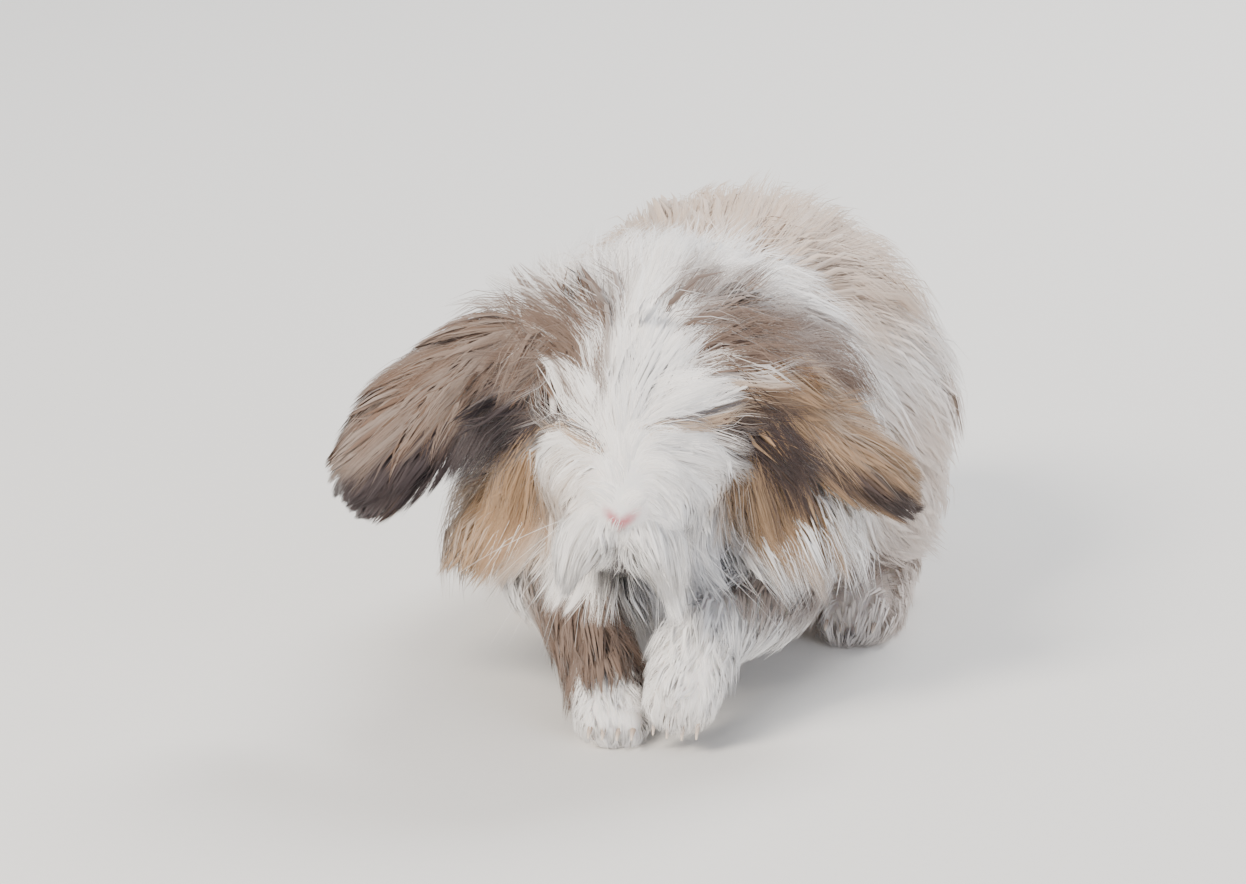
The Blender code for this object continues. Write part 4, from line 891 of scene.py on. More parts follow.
def face_markings(points):
    """The head's markings and the painted shade under its ears, laid out as they are seen from in front of
    the face.
    """
    across, up, back = seen(points)
    middle, half = (np.interp(up, BLAZE_UP, values) for values in (BLAZE_MIDDLE, BLAZE_HALF))
    blaze = 1 - smoothstep(half - 0.5, half + 0.3, np.abs(across - middle))
    white = np.maximum(blaze, most(stripe, across, up, BROW_LOCKS))
    top = 9.3 + 0.4 * np.minimum(across, 0) - 0.5 * np.maximum(across - 3, 0)
    crown = smoothstep(*CROWN_UP, up) * (1 - white) * smoothstep(*CROWN_TOP, up - top)
    cheeks = most(blob, across, up, CHEEKS)
    # Painted shade under the ears, laid on as dark over taupe
    painted_shade_under_ears = most(blob, across, up, PAINTED_SHADE_UNDER_EARS)
    slits = most(stripe, across, up, EYE_SLITS)
    under = most(stripe, across, up, UNDER_EYES)
    streaks = blob(across, up, *JAW_STREAKS) * smoothstep(*STREAKS_EDGE, ripple(points, STREAKS_SIZE))
    front = smoothstep(*FACE_AWAY, back)
    return {
        "tan": np.maximum(0.95 * cheeks, 0.8 * under) * front,
        # Taupe and dark here also carry the painted shade under the ears
        "taupe": np.max([0.95 * crown, 0.15 * cheeks, 0.8 * painted_shade_under_ears], axis=0) * front,
        "dark": np.max([0.9 * slits, 0.9 * painted_shade_under_ears, 0.6 * streaks], axis=0) * front,
    }


class Coat(NamedTuple):
    """One zone's coat, in centimetres."""

    # Which way it lies, its longest hair and how far its tips stand off the skin
    lie: object
    length: float
    depth: float
    # How many there are to the square centimetre, and how wide they are
    hairs: tuple
    tufts: tuple
    # How closely it follows the body, and how far it sags
    follow: float = 0.8
    droop: float = 0.0
    # How strongly hairs are drawn together into locks, and how many to a lock
    clump: float = 0.6
    every: int = 40


def coat_zones():
    """The coat of each body of the flesh."""
    zones = {
        "torso": Coat(torso_lie, 4.8, 2.7, (33, 0.034), (6, 0.24), 0.8, 0.0, 0.55, 26),
        "neck": Coat(neck_lie, 5.4, 2.9, (80, 0.031), (12, 0.18), 0.4, 0.6),
        "head": Coat(head_lie, 4.2, 2.4, (170, 0.026), (13, 0.16), 0.6, 0.15, 0.75, 70),
        "chin": Coat(even_lie(CHIN_WAY), 1.5, 0.5, (130, 0.026), (12, 0.1), 0.3, 0.3),
        "tail": Coat(tail_lie, 3.2, 1.4, (90, 0.03), (12, 0.12), 0.6, 0.3),
    }
    for word in SIDES:
        zones[f"shoulder_{word}"] = Coat(torso_lie, 5.2, 2.7, (52, 0.031), (12, 0.18), 0.6, 0.4)
        thigh = (4.4, 1.9, (32, 0.034), (6, 0.24), 0.7, 0.2, 0.55, 26)
        zones[f"thigh_{word}"] = Coat(even_lie(THIGH_WAY), *thigh)
        zones[f"cheek_{word}"] = Coat(head_lie, 3.6, 2.4, (200, 0.026), (16, 0.15), 0.3, 0.3, 0.72, 70)
        zones[f"lip_{word}"] = Coat(lip_lie, 3.1, 0.9, (230, 0.025), (22, 0.12), 0.25, 0.2, 0.5, 30)
    for word, root, rib, faces in EARS:
        lie = ear_lie(root, rib, faces)
        zones[f"ear_{word}"] = Coat(lie, 3.2, 0.45, (80, 0.029), (12, 0.16), 0.3, 0.0, 0.7)
    for name, stations in (("foreleg_left", FORELEG_LEFT), ("foreleg_right", FORELEG_RIGHT)):
        zones[name] = Coat(limb_lie(stations), 2.2, 0.8, (56, 0.03), (16, 0.13), 0.6, 0.5, 0.6, 24)
    for name, (stations, _) in PAWS.items():
        count, long = (130, 1.0) if name.startswith("fore") else (45, 1.7)
        sizes = (long, 0.5 * long, (count, 0.026), (14, 0.1))
        zones[name] = Coat(limb_lie(stations), *sizes, 0.5, 0.2, 0.6, 20)
    return zones


def zone_sizes(coat, points, zone):
    """Length, depth, closeness to the body and sag of each hair, where they change over a zone."""
    whole = (coat.length, coat.depth, coat.follow, coat.droop)
    length, depth, follow, droop = (np.full(len(points), float(value)) for value in whole)
    local = to_head(points)
    if zone == "head":
        at = [station[1] for station in HEAD]
        depth = np.interp(local[:, 1], at, HEAD_COAT)
        length = np.interp(local[:, 1], at, HEAD_HAIR)
    if zone.startswith(("head", "cheek")):
        low = hangs(local)
        follow, droop = follow * (1 - HUNG_FREE * low), droop + HUNG_SAG * low
        length = length + HUNG_LONGER * low
    if zone.startswith("lip"):
        away = np.linalg.norm(local - np.array(NOSE_NOTCH), axis=1)
        length *= LIP_SHORTEST + (1 - LIP_SHORTEST) * smoothstep(*LIP_LONGER, away)
        parted = smoothstep(*PARTED_BESIDE, np.abs(local[:, 0])) * smoothstep(*PARTED_DOWN, local[:, 2])
        length *= 1 - LIP_PARTED * parted
    if zone.startswith(("torso", "shoulder", "thigh", "neck", "head", "cheek")):
        behind = 1.0 if zone.startswith("thigh") else 0.0
        if zone == "torso":
            behind = smoothstep(*REAR_ALONG, points[:, 1])
        tip = LEAST_TIP - (LEAST_TIP - LEAST_TIP_BEHIND) * behind
        length = np.clip(points[:, 2] - tip, LEAST_LENGTH, length)
        depth = np.minimum(depth, 0.5 * length + 0.3)
    for word, root, rib, _ in EARS:
        start = np.array(head_frame() @ root)
        away = np.linalg.norm(points - start, axis=1)
        if zone == f"ear_{word}":
            from_tip = np.linalg.norm(points - (start + np.array(rib[-1])), axis=1)
            length = np.minimum(length, from_tip * 0.8 + EAR_FRINGE)
            upper = EAR_DEEPER * smoothstep(*EAR_DEEPER_AWAY, away)
            depth += upper + ROOT_DEEPER * smoothstep(*ROOT_DEEPER_AWAY, away)
        elif zone == "head":
            depth += ROUND_EAR[word] * smoothstep(*ROUND_EAR_AWAY, away)
    return length, depth, follow, droop


def combed(surface, roots, normals, lie, lengths, heights, follow, droop, rings, draw):
    """The way of each hair from root to tip, at its own height over the skin, and what it faces."""
    follow, droop = follow[:, None], droop[:, None]
    strays = draw.normal(0, STRAY_TURN, (len(roots), 3))
    here = roots - normals * ROOT_DEPTH
    facing = normals
    ways, faces = [here], [facing]
    for before, share in zip(rings, rings[1:]):
        fallen = unit(lie(here, facing)) + strays - np.array(UP) * droop * share
        along = unit(fallen - (fallen * facing).sum(1, keepdims=True) * facing * follow)
        free = here + along * ((share - before) * lengths)[:, None]
        spots, index, away = surface.nearest(free)
        facing = surface.facing(spots, index)
        rise = heights * (1 - (1 - share) ** RISE)
        out = free - spots
        away = np.where((out * facing).sum(1) < 0, 0.0, away)
        over = np.maximum(rise, away + (rise - away) * follow[:, 0])
        outward = np.where((away > FREE)[:, None], unit(out), facing)
        there = spots + outward * over[:, None]
        there[:, 2] = np.maximum(there[:, 2], LEAST_HEIGHT)
        step, reach = there - here, (share - before) * lengths * STRETCH
        way = unit(step)
        if len(ways) > 1:
            sharp = (way * last).sum(1) < LEAST_BEND
            way = np.where(sharp[:, None], unit(way + 2 * last), way)
        last = way
        here = here + way * np.minimum(np.linalg.norm(step, axis=1), reach)[:, None]
        ways.append(here)
        faces.append(outward)
    return np.stack(ways, 1), np.stack(faces, 1)


def nearest_of(places, points):
    """Which of the places is the nearest to each of the points."""
    tree = KDTree(len(places))
    for k, place in enumerate(places.tolist()):
        tree.insert(place, k)
    tree.balance()
    return np.array([tree.find(point)[1] for point in points.tolist()])


def clumped(ways, faces, roots, rings, clump, every, draw):
    """Hairs drawn towards the nearest of the few that lead, more so to their tips.

    What a hair faces is turned away from its leader too, so that each lock is lit as a round one.
    """
    count = len(roots)
    leaders = draw.permutation(count)[: max(1, count // every)]
    leads = leaders[nearest_of(roots[leaders], roots)]
    strength = clump * (PULL_LEAST + PULL_RANGE * draw.random(count))
    pull = strength[:, None] * rings[None, :] ** PULL_GROWTH
    pull = np.clip(pull, 0, PULL_MOST)[:, :, None]
    apart = ways - ways[leads]
    outward = apart / LOCK_HALF
    outward /= np.maximum(1, np.linalg.norm(outward, axis=2, keepdims=True))
    return ways - apart * pull, unit(faces + LOCK_ROUND * outward)


def end_to_end(parts, words):
    """The arrays of all the parts, end to end, under each word."""
    return {word: np.concatenate([part[word] for part in parts]) for word in words}


def tuft_points(hairs):
    """The corners of each hair, and the normals of its upper faces and of its underside there."""
    ways, faces, ridge = hairs["ways"], hairs["faces"], hairs["ridge"]
    count, rings = ways.shape[:2]
    last = rings - 1
    tangents = unit(np.diff(ways, axis=1, append=ways[:, -1:] * 2 - ways[:, -2:-1]))
    side = unit(np.cross(tangents, faces))
    lift = np.cross(side, tangents)
    shares = np.linspace(0, 1, rings)
    swell = (SWELL[0] + SWELL[1] * shares + SWELL[2] * shares**2)[None, :last, None]
    half = hairs["widths"][:, None, None] / 2 * swell
    body, side, lift = ways[:, :last], side[:, :last], lift[:, :last]
    corners = [body - side * half, body + lift * half * ridge, body + side * half]
    looks = [lift * 0.5 - side, lift, lift * 0.5 + side]
    corners, looks = (np.stack(three, 2).reshape(count, last * 3, 3) for three in (corners, looks))
    points = np.concatenate([corners, ways[:, last:]], 1)
    points[:, :, 2] = np.maximum(points[:, :, 2], OVER_FLOOR)
    soft = np.concatenate([np.repeat(faces[:, :last], 3, 1), faces[:, last:]], 1)
    upper = unit(unit(np.concatenate([looks, faces[:, last:]], 1)) * OWN_SHADE + soft)
    under = unit(np.array(UP) * UNDER_SHADE - lift)
    return points, upper, np.concatenate([np.repeat(under, 3, 1), under[:, last - 1 :]], 1)


def tuft_faces(last):
    """The faces of a hair with so many rings below its tip, and those of its underside."""
    quads = [
        (3 * ring + j, 3 * ring + (j + 1) % 3, 3 * ring + 3 + (j + 1) % 3, 3 * ring + 3 + j)
        for ring in range(last - 1)
        for j in range(3)
    ]
    final = 3 * (last - 1)
    tips = [(final + j, final + (j + 1) % 3, final + 3) for j in range(3)]
    return [*quads, *tips, (2, 1, 0)], {*quads[2::3], tips[2]}


def tuft_mesh(name, hairs):
    """One mesh of three-sided tapered hairs, each closed, with its patch on the skin's unwrap."""
    points, upper, under = tuft_points(hairs)
    count, per = points.shape[:2]
    last = per // 3
    faces, lowest = tuft_faces(last)
    pattern = np.array([corner for face in faces for corner in face])
    sizes = np.array([len(face) for face in faces])
    totals = np.tile(sizes, count)
    mesh = bpy.data.meshes.new(name)
    mesh.vertices.add(count * per)
    mesh.vertices.foreach_set("co", metres(points.reshape(-1, 3)).ravel())
    mesh.loops.add(len(pattern) * count)
    mesh.loops.foreach_set("vertex_index", (pattern[None, :] + per * np.arange(count)[:, None]).ravel())
    mesh.polygons.add(len(totals))
    mesh.polygons.foreach_set("loop_start", np.concatenate([[0], np.cumsum(totals)[:-1]]))
    mesh.polygons.foreach_set("loop_total", totals)
    mesh.update(calc_edges=True)
    along = np.array([*np.repeat(np.arange(last), 3), last]) / last
    across = np.array([*np.tile((-0.5, 0.0, 0.5), last), 0.0])
    patch = np.stack([across, along - 0.5], 1)[pattern] * PATCH
    layer = mesh.uv_layers.new(name="OFBake")
    layer.data.foreach_set("uv", (hairs["uvs"][:, None, :] + patch[None]).ravel())
    for word, values in hairs["masks"].items():
        set_points(mesh, word, np.repeat(values, per))
    set_points(mesh, "along", np.tile(along, count))
    set_points(mesh, "across", (across[None, :] * (hairs["widths"] / STREAK)[:, None]).ravel())
    mesh.polygons.foreach_set("use_smooth", np.ones(len(totals), bool))
    lower = np.repeat([face in lowest for face in faces], sizes)
    normals = np.where(lower[None, :, None], under[:, pattern], upper[:, pattern])
    mesh.normals_split_custom_set(normals.reshape(-1, 3))
    return mesh


def eye_axes(side):
    """The eye's middle and its own axes in the head's frame: across, up and the way it looks."""
    looks = sided(EYE_LOOKS, side).normalized()
    across = looks.cross(UP).normalized()
    return sided(EYE_PLACE, side), across, across.cross(looks), looks


def lids(side):
    """The rim of both lids, an almond that lies round the front of the eyeball."""
    head = head_frame()
    centre, across, upward, looks = eye_axes(side)
    rings = []
    for angle in turns(40):
        radial = across * math.cos(angle) + upward * math.sin(angle)
        narrow = 1 - LID_CORNER * abs(math.cos(angle)) ** 6
        rim = across * math.cos(angle) * LID_WIDTH + upward * math.sin(angle) * LID_HEIGHT * narrow
        middle = centre + rim + looks * LID_FORWARD
        section = [radial * math.cos(turn) + looks * math.sin(turn) for turn in turns(12)]
        rings.append([head @ (middle + way * LID_THICKNESS) for way in section])
    return closed_rings(rings, joined=True)


def slit(place, radii, side, tilt):
    """A flat lens, tilted in the head's frame, that cuts a thin opening."""
    centre = Matrix.Translation(sided(place, side))
    return ball(Vector(), radii, head_frame() @ centre @ Matrix.Rotation(tilt, 4, "Y"))


def skin_mesh(shapes):
    """The flesh as one surface, with a finer muzzle and the rims of the lids."""
    head = head_frame()
    body = fused(shapes.values(), SKIN_FACE, SKIN_SMOOTHING)
    front = [(*s[:3], s[3] + grow, s[4] + grow, s[5] + grow) for s, grow in zip(HEAD, MUZZLE_GROWN)]
    fine = [
        limb(front, 40, 6, head),
        ball(NOSE_PLACE, NOSE_RADII, head, 40, 24),
        ball(CHIN_PLACE, CHIN_RADII, head, 40, 24),
    ]
    cutters = [slit(CLEFT_PLACE, CLEFT_RADII, 1, 0.0)]
    for side in SIDES.values():
        fine.append(ball(sided(LIP_PLACE, side), LIP_RADII + LIP_GROWN, head, 40, 24))
        cutters.append(slit(NOSTRIL_PLACE, NOSTRIL_RADII, side, -side * NOSTRIL_TILT))
        cutters.append(slit(MOUTH_PLACE, MOUTH_RADII, side, side * MOUTH_TILT))
    muzzle = fused(fine, MUZZLE_FACE, MUZZLE_SMOOTHING, cutters)
    whole = bmesh.new()
    whole.from_mesh(body)
    whole.from_mesh(muzzle)
    whole.from_mesh(mesh_from([lids(1), lids(-1)]))
    for vertex in whole.verts:
        vertex.co.z = max(vertex.co.z, SOLE)
    mesh = bpy.data.meshes.new("skin")
    whole.to_mesh(mesh)
    mesh.shade_smooth()
    mesh.uv_layers.new(name="OFBake")
    return mesh


def unwrapped(obj):
    """Lays the skin out flat, for the patches of the tufts and for baking."""
    bpy.context.view_layer.objects.active = obj
    obj.select_set(True)
    bpy.ops.object.mode_set(mode="EDIT")
    bpy.ops.mesh.select_all(action="SELECT")
    bpy.ops.uv.smart_project(angle_limit=math.radians(66), island_margin=0.001)
    bpy.ops.object.mode_set(mode="OBJECT")
    obj.select_set(False)


def from_nostrils(points):
    """How far points are from the V of the nostrils and the cleft under it."""
    local = to_head(points)
    local[:, 0] = np.abs(local[:, 0])
    return np.minimum(*(from_line(local, NOSE_NOTCH, end) for end in (NOSE_WING, NOSE_CLEFT)))


def bare(points):
    """Where no hair grows: the rims of the nostrils, the cleft of the lip and the eyes."""
    local = to_head(points)
    eye = np.zeros(len(points), bool)
    for side in SIDES.values():
        eye |= np.linalg.norm(local - np.array(sided(EYE_PLACE, side)), axis=1) < EYE_RADIUS + EYE_BARE
    return eye | (from_nostrils(points) < NOSE_BARE)


def grown(surface, zones, shapes, thickness, draw):
    """The hairs and tufts of every zone: ways, facing, widths, unwrap places and markings."""
    found = {}
    for zone, coat in zones.items():
        rings = np.array(SHORT_RINGS if zone.startswith(SHORT_HAIRED) else LONG_RINGS)
        for layer, (density, width), (low, high), ridge in (
            ("tufts", coat.tufts, TUFT_HEIGHTS, TUFT_RIDGE),
            ("hairs", coat.hairs, HAIR_HEIGHTS, HAIR_RIDGE),
        ):
            spots, index, away = surface.nearest(sampled(shapes[zone], density * thickness, draw))
            kept = (away < ON_SKIN) & ~bare(spots)
            spots, index = spots[kept], index[kept]
            count = len(spots)
            facing = surface.facing(spots, index)
            lengths, depths, follow, droop = zone_sizes(coat, spots, zone)
            lengths = lengths * (LENGTHS[0] + LENGTHS[1] * draw.random(count))
            heights = depths * (low + (high - low) * draw.random(count) ** 0.6)
            heights = np.where(draw.random(count) < STRAY_SHARE, heights * STRAY_RISE, heights)
            shape = (coat.lie, lengths, heights, follow, droop, rings)
            ways, faces = combed(surface, spots, facing, *shape, draw)
            ways, faces = clumped(ways, faces, spots, rings, coat.clump, coat.every, draw)
            ways[:, :, 2] = np.maximum(ways[:, :, 2], LEAST_HEIGHT)
            masks = markings(ways[:, 2], zone)
            masks["shade"] = draw.random(count)
            widths = width * (WIDTHS[0] + WIDTHS[1] * draw.random(count))
            steps = unit(np.diff(ways, axis=1))
            even = ((steps[:, 1:] * steps[:, :-1]).sum(2) > LEAST_BEND).all(1)
            arrays = (ways, faces, widths, surface.unwrap(spots, index), spots)
            hairs = {word: values[even] for word, values in zip(HAIR_ARRAYS, arrays)}
            hairs["masks"] = {word: values[even] for word, values in masks.items()}
            hairs["ridge"] = ridge
            found[zone, layer] = hairs
    return found


def feed(made, inputs):
    """Sets the inputs of a node, or links them to the outputs of others."""
    for name, value in inputs.items():
        socket = made.inputs[name]
        if isinstance(value, bpy.types.NodeSocket):
            made.id_data.links.new(value, socket)
        else:
            socket.default_value = (*value, 1.0) if socket.type == "RGBA" else value


def node(tree, kind, inputs, output=0, **settings):
    """Adds a node with its settings, values and links, and gives one of its outputs."""
    made = tree.nodes.new(f"ShaderNode{kind}")
    for word, value in settings.items():
        setattr(made, word, value)
    feed(made, inputs)
    return made.outputs[output]


def material(build):
    """The material of that name, with one shader that takes what the function gives for it."""
    made = bpy.data.materials.new(build.__name__)
    made.use_nodes = True
    inputs = build(made.node_tree, bpy.context.scene.rabbit_colours)
    feed(made.node_tree.nodes["Principled BSDF"], inputs)
    return made


def masks_of(tree, *names):
    """The values that the mesh holds at its points under these names."""
    return [node(tree, "Attribute", {}, "Fac", attribute_name=name) for name in names]


def pigmented(tree, colours):
    """The coat's colour: white, with each pigment laid over it as the markings say."""
    colour = colours.white
    for name, share in zip(PIGMENTS, masks_of(tree, *PIGMENTS)):
        colour = node(tree, "Mix", {0: share, 6: colour, 7: getattr(colours, name)}, 2, data_type="RGBA")
    return colour


def rabbit_wool(tree, colours):
    """Rabbit wool: keratin hair, grown long and fine. Matt, with a soft sheen along each lock, and painted
    shade towards the roots.
    """
    shade, across, along = masks_of(tree, "shade", "across", "along")
    offset = node(tree, "Math", {0: shade, 1: STREAK_APART}, operation="MULTIPLY")
    place = node(tree, "CombineXYZ", {0: across, 1: along, 2: offset})
    streaks = node(tree, "TexNoise", {"Vector": place, "Scale": 1.0, "Detail": 2.0}, "Fac")
    colour = pigmented(tree, colours)
    for ranges in (
        {0: shade, 3: 0.9, 4: 1.04},
        {0: streaks, 1: 0.3, 2: 0.7, 3: 0.9, 4: 1.05},
        # Darker towards each hair's root: painted shade deep in the coat
        {0: along, 2: 0.6, 3: 0.87, 4: 1.0},
    ):
        factor = node(tree, "MapRange", ranges)
        inputs = {0: 1.0, 6: colour, 7: factor}
        colour = node(tree, "Mix", inputs, 2, data_type="RGBA", blend_type="MULTIPLY")
    return {"Base Color": colour, "Roughness": 0.62, "Sheen Weight": 0.25, "Sheen Roughness": 0.4}


def rabbit_skin(tree, colours):
    """Skin: under the coat it takes the coat's colours; the nose is pink, bare and finely pebbled."""
    colour = pigmented(tree, colours)
    for share, other in ((0.1, colours.taupe), (*masks_of(tree, "pink"), colours.nose)):
        colour = node(tree, "Mix", {0: share, 6: colour, 7: other}, 2, data_type="RGBA")
    place = node(tree, "TexCoord", {}, "Object")
    pebble = node(tree, "TexVoronoi", {"Vector": place, "Scale": 1 / PEBBLE})
    return {
        "Base Color": colour,
        "Roughness": 0.5,
        "Normal": node(tree, "Bump", {"Height": pebble, "Strength": 0.25, "Distance": PEBBLE_DEPTH}),
        "Subsurface Weight": 0.15,
        "Subsurface Radius": SKIN_SCATTER,
    }


def wet_eye(tree, colours):
    """Eye: a wet clear cornea over a dark brown iris, so it is nearly black with a bright glint."""
    colour = node(tree, "ValToRGB", {"Fac": masks_of(tree, "polar")[0]})
    ramp = colour.node.color_ramp
    pupil, edge = linear(PUPIL_COLOUR), linear(EDGE_COLOUR)
    steps = ((0.0, pupil), (PUPIL_ANGLE, pupil), (IRIS_ANGLE, colours.iris), (EDGE_ANGLE, edge))
    while len(ramp.elements) < len(steps):
        ramp.elements.new(1.0)
    for element, (at, value) in zip(ramp.elements, steps):
        element.position = at
        element.color = (*value, 1.0)
    return {"Base Color": colour, "Roughness": 0.08, "Coat Weight": 1.0, "Coat Roughness": 0.02}


def claw_horn(tree, colours):
    """Claw: grown horn, pale at the tip and darker at the root, with a low polish from wear."""
    inputs = {0: masks_of(tree, "along")[0], 6: colours.claw, 7: linear(CLAW_TIP_COLOUR)}
    return {"Base Color": node(tree, "Mix", inputs, 2, data_type="RGBA"), "Roughness": 0.35}


def whisker_hair(tree, colours):
    """Whisker: one stiff, smooth, nearly clear hair, white with a fine gleam along it."""
    return {"Base Color": colours.white, "Roughness": 0.3}


def floor_paint(tree, colours):
    """Studio floor: matt painted board, rolled, so only a faint broad stipple shows."""
    place = node(tree, "TexCoord", {}, "Object")
    stipple = node(tree, "TexNoise", {"Vector": place, "Scale": 1 / STIPPLE}, "Fac")
    inputs = {0: stipple, 6: colours.floor, 7: tuple(value * 0.97 for value in colours.floor)}
    return {"Base Color": node(tree, "Mix", inputs, 2, data_type="RGBA"), "Roughness": 0.7}


def whisker(side, k, draw):
    """One whisker of a lip: thin, tapered, and bent down by its own weight."""
    share = (k + 0.5) / WHISKERS
    angle = math.radians(WHISKER_FIRST + WHISKER_FAN * share) + draw.normal(0, WHISKER_STRAY)
    out = Vector((side * math.cos(angle), 0.15 - 0.4 * share, -math.sin(angle))).normalized()
    root = Vector((side * 1.1, 0.75 + 0.5 * (k % 3), -0.35 - 0.3 * (k % 2) - 0.3 * share))
    reach = WHISKER_LENGTH * (0.75 + 0.35 * draw.random())
    rows = []
    for t in np.linspace(0, 1, 5):
        place = root + out * reach * t - UP * WHISKER_SAG * t * t
        rows.append(round_station(place, WHISKER_ROOT * (1 - 0.8 * t)))
    return limb(rows, 6, 4, head_frame(), Vector((0, -1, 0)))


def claw(toe, way):
    """The claw of a toe: a short hook, bent to the floor and kept clear of it."""
    root = Vector(toe[:3]) + way * 0.05
    root.z = max(root.z, CLAW_ROOT + CLAW_CLEAR)
    level = max(root.z - 0.05, CLAW_TIP + CLAW_CLEAR)
    bend = Vector((root.x, root.y, level)) + way * CLAW_LENGTH * 0.6
    tip = Vector((root.x, root.y, max(level - 0.12, CLAW_TIP + CLAW_CLEAR))) + way * CLAW_LENGTH
    radii = (CLAW_ROOT, (CLAW_ROOT + CLAW_TIP) / 2, CLAW_TIP)
    return limb([round_station(*pair) for pair in zip((root, bend, tip), radii)], 14, 6)


def add_piece(name, mesh, finish):
    """Links a piece, gives it its material and sets it on the rabbit's one body."""
    made = linked(name, mesh)
    mesh.materials.clear()
    mesh.materials.append(finish)
    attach(made, "root")
    return made


def colour_setting(name, description, colour):
    return FloatVectorProperty(
        name=name, description=description, default=linear(colour), size=3, subtype="COLOR", min=0, max=1
    )


class RabbitColours(PropertyGroup):
    """Colours of the coat, the bare skin and the stage."""

    white: colour_setting("White", "Wool of the blaze, muzzle, ruff and shoulders", "#FAF7F4")
    cream: colour_setting("Cream", "Wool of the flanks and rump", "#E3D2C4")
    tan: colour_setting("Tan", "Hair of the cheeks and of the left ear", "#AE8A62")
    # Taupe and dark also paint the shade under the ears and on the chin, and dark the shadow under the
    # lips
    taupe: colour_setting("Taupe", "Hair of the crown, the right ear and the forelegs", "#6F5543")
    dark: colour_setting("Dark", "Hair along the lower edges of the ears", "#33272A")
    nose: colour_setting("Nose", "Bare skin of the nose", "#C4636C")
    iris: colour_setting("Iris", "Ring of the eye round the pupil", "#4A2A18")
    claw: colour_setting("Claw", "Horn of the claws at the root", "#A88F7C")
    floor: colour_setting("Floor", "Studio floor", "#E9E6E1")


class RabbitCoat(PropertyGroup):
    """How thick the coat is grown."""

    thickness: FloatProperty(
        name="Hair count",
        description="Hairs grown, as a share of the full coat",
        default=1.0,
        min=0.1,
        max=1.0,
        subtype="FACTOR",
    )
    seed: IntProperty(name="Seed", description="Start of every random draw", default=7, min=1)


class RabbitStage(PropertyGroup):
    """Camera and lights."""

    distance: FloatProperty(name="Distance", description="Camera to nose", default=2.2, unit="LENGTH")
    azimuth: FloatProperty(
        name="Azimuth",
        description="Camera's turn round the rabbit, from straight in front",
        default=VIEW_AZIMUTH,
        subtype="ANGLE",
    )
    elevation: FloatProperty(
        name="Elevation",
        description="Camera's rise over the floor's level",
        default=VIEW_ELEVATION,
        subtype="ANGLE",
    )
    lens: FloatProperty(name="Lens", description="Focal length", default=190.0, unit="CAMERA")


class RABBIT_OT_body(Operator):
    """Make the skin and comb the coat over it"""

    bl_idname = "rabbit.body"
    bl_label = "Skin and Coat"

    def execute(self, context):
        coat = context.scene.rabbit_coat
        draw = np.random.default_rng(coat.seed)
        shapes = flesh()
        mesh = skin_mesh(shapes)
        skin = add_piece("skin", mesh, material(rabbit_skin))
        unwrapped(skin)
        surface = Surface(mesh)
        found = grown(surface, coat_zones(), shapes, coat.thickness, draw)
        self.mark_skin(mesh, found)
        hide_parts(*FLESH_NODES)
        wool = material(rabbit_wool)
        for group, (zones, slot) in COAT_GROUPS.items():
            for layer in ("tufts", "hairs"):
                self.add_coat(f"{layer}_{group}", [found[zone, layer] for zone in zones], wool, slot)
        return {"FINISHED"}

    def mark_skin(self, mesh, found):
        """Gives the skin the markings of the hair that grows nearest to each of its points."""
        points = points_of(mesh)
        near = nearest_of(end_to_end(found.values(), ("roots",))["roots"], points)
        for word, values in end_to_end([hairs["masks"] for hairs in found.values()], PIGMENTS).items():
            set_points(mesh, word, values[near])
        set_points(mesh, "pink", 1 - smoothstep(NOSE_BARE / 2, NOSE_BARE * 2, from_nostrils(points)))

    def add_coat(self, name, parts, finish, slot):
        """Makes one group's hairs as meshes, each small enough to handle."""
        whole = end_to_end(parts, HAIR_ARRAYS)
        masks = end_to_end([part["masks"] for part in parts], parts[0]["masks"])
        order = np.argsort(whole["ways"][:, 0, 0], kind="stable")
        pieces = math.ceil(len(order) / MOST_IN_PIECE)
        for k, chosen in enumerate(np.array_split(order, pieces)):
            hairs = {word: values[chosen] for word, values in whole.items()}
            hairs["masks"] = {word: values[chosen] for word, values in masks.items()}
            hairs["ridge"] = parts[0]["ridge"]
            made = add_piece(f"{name}_{k + 1}", tuft_mesh(name, hairs), finish)
            made.visible_shadow = not name.startswith("hairs")


class RABBIT_OT_eyes(Operator):
    """Make both eyes"""

    bl_idname = "rabbit.eyes"
    bl_label = "Eyes"

    def execute(self, context):
        cornea = material(wet_eye)
        head = head_frame()
        for word, side in SIDES.items():
            centre, across, upward, looks = eye_axes(side)
            shape = ball(Vector(), (EYE_RADIUS,) * 3, None, 48, 32)
            polar = [math.acos(max(-1.0, min(1.0, v.co.z / EYE_RADIUS))) for v in shape.verts]
            for v, angle in zip(shape.verts, polar):
                v.co *= 1 + CORNEA_RISE * math.exp(-((angle / CORNEA_ANGLE) ** 2))
            axes = Matrix((across, upward, looks)).transposed().to_4x4()
            bmesh.ops.transform(shape, matrix=head @ Matrix.Translation(centre) @ axes, verts=shape.verts)
            bmesh.ops.recalc_face_normals(shape, faces=shape.faces)
            mesh = mesh_from([shape])
            set_points(mesh, "polar", polar)
            mesh.shade_smooth()
            eye = add_piece(f"eyeball_{word}", mesh, cornea)
            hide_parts(f"eye_{word}")
        return {"FINISHED"}


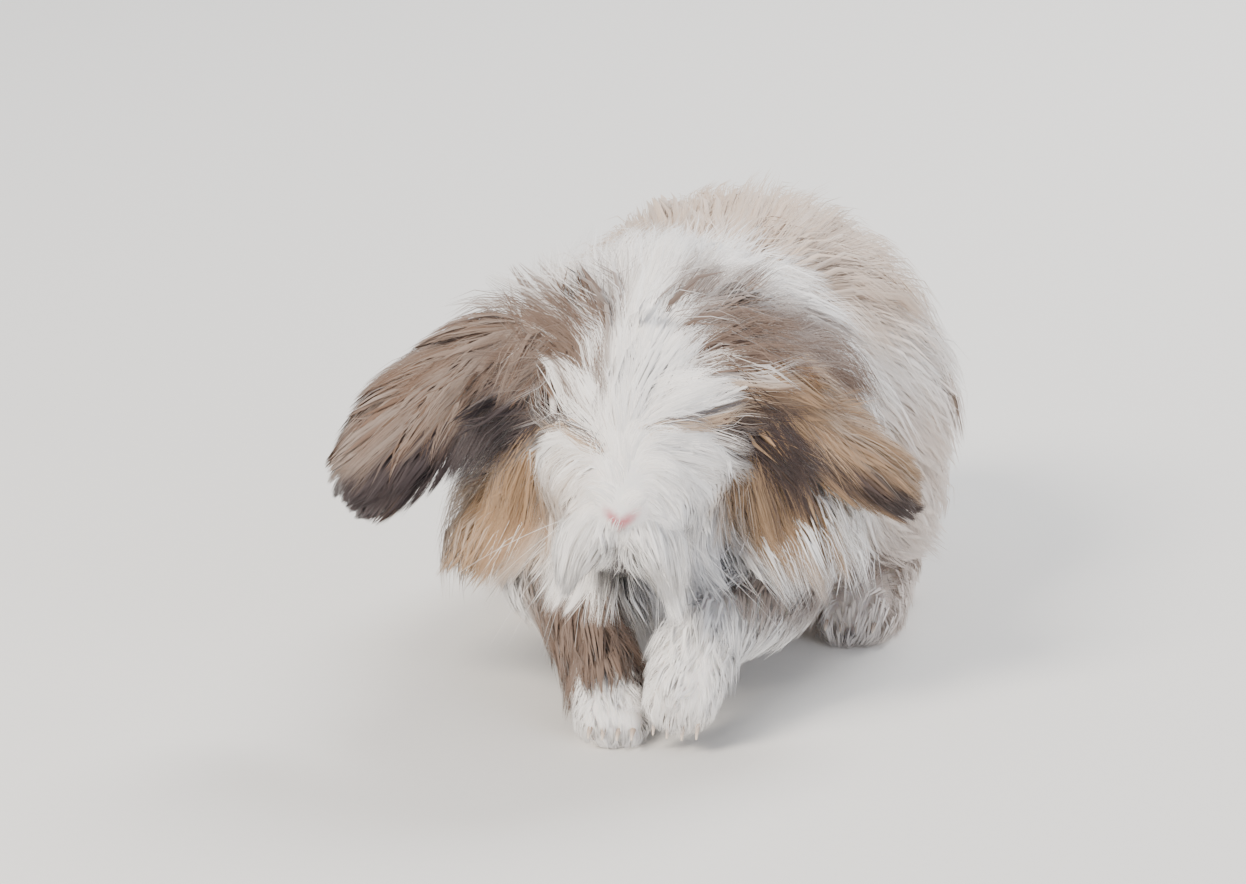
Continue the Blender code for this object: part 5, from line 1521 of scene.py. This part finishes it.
class RABBIT_OT_whiskers(Operator):
    """Make the whiskers of both lips"""

    bl_idname = "rabbit.whiskers"
    bl_label = "Whiskers"

    def execute(self, context):
        draw = np.random.default_rng(context.scene.rabbit_coat.seed)
        shapes = [whisker(side, k, draw) for side in SIDES.values() for k in range(WHISKERS)]
        mesh = mesh_from(shapes)
        mesh.shade_smooth()
        add_piece("whiskers", mesh, material(whisker_hair))
        return {"FINISHED"}


class RABBIT_OT_claws(Operator):
    """Make the claws of all four feet"""

    bl_idname = "rabbit.claws"
    bl_label = "Claws"

    def execute(self, context):
        shapes = [claw(toe, way) for stations, way in PAWS.values() for _, toe in toe_rows(stations, way)]
        mesh = mesh_from(shapes)
        per = len(shapes[0].verts)
        set_points(mesh, "along", np.tile(np.linspace(0, 1, per), len(shapes)))
        mesh.shade_smooth()
        add_piece("claws", mesh, material(claw_horn))
        return {"FINISHED"}


class RABBIT_OT_stage(Operator):
    """Make the floor, the lights, the world and the camera"""

    bl_idname = "rabbit.stage"
    bl_label = "Stage"

    def execute(self, context):
        settings = context.scene.rabbit_stage
        floor = bmesh.new()
        bmesh.ops.create_grid(floor, x_segments=1, y_segments=1, size=FLOOR_HALF)
        mesh = bpy.data.meshes.new("floor")
        floor.to_mesh(mesh)
        mesh.materials.append(material(floor_paint))
        linked("floor", mesh)
        for name, (place, size, power, colour) in LIGHTS.items():
            light = bpy.data.lights.new(name, "AREA")
            light.shape = "DISK"
            light.size, light.energy, light.color = size, power, linear(colour)
            made = linked(name, light)
            made.location = place
            made.rotation_euler = (Vector(LIT_POINT) - Vector(place)).to_track_quat("-Z", "Y").to_euler()
        world = context.scene.world or bpy.data.worlds.new("studio")
        context.scene.world = world
        world.use_nodes = True
        sky = world.node_tree.nodes["Background"]
        feed(sky, {"Color": linear(SKY_COLOUR), "Strength": SKY_STRENGTH})
        turn = view_turn(settings.azimuth, settings.elevation)
        camera = bpy.data.cameras.new("camera")
        camera.lens, camera.sensor_width = settings.lens, 36.0
        camera.clip_start = 0.05
        made = linked("camera", camera)
        nose = (NOSE_TIP * CM) + SHIFT
        made.location = nose + turn @ Vector((*CAMERA_SLIDE, settings.distance))
        made.rotation_euler = turn.to_euler()
        context.scene.camera = made
        return {"FINISHED"}


OPERATORS = (RABBIT_OT_body, RABBIT_OT_eyes, RABBIT_OT_whiskers, RABBIT_OT_claws, RABBIT_OT_stage)


class RABBIT_PT_panel(Panel):
    """Buttons and settings of the rabbit"""

    bl_label = "Rabbit"
    bl_space_type = "VIEW_3D"
    bl_region_type = "UI"
    bl_category = "Rabbit"

    def draw(self, context):
        for operator in OPERATORS:
            self.layout.operator(operator.bl_idname)
        for group in (context.scene.rabbit_colours, context.scene.rabbit_coat, context.scene.rabbit_stage):
            for word in group.__annotations__:
                self.layout.prop(group, word)


GROUPS = {"rabbit_colours": RabbitColours, "rabbit_coat": RabbitCoat, "rabbit_stage": RabbitStage}


def register():
    for made in (*GROUPS.values(), *OPERATORS, RABBIT_PT_panel):
        bpy.utils.register_class(made)
    for word, group in GROUPS.items():
        setattr(bpy.types.Scene, word, PointerProperty(type=group))


def unregister():
    for word in GROUPS:
        delattr(bpy.types.Scene, word)
    for made in (RABBIT_PT_panel, *OPERATORS[::-1], *GROUPS.values()):
        bpy.utils.unregister_class(made)


def main():
    """Makes every piece and the stage."""
    register()
    bpy.ops.rabbit.body()
    bpy.ops.rabbit.eyes()
    bpy.ops.rabbit.whiskers()
    bpy.ops.rabbit.claws()
    bpy.ops.rabbit.stage()


if __name__ == "__main__":
    main()
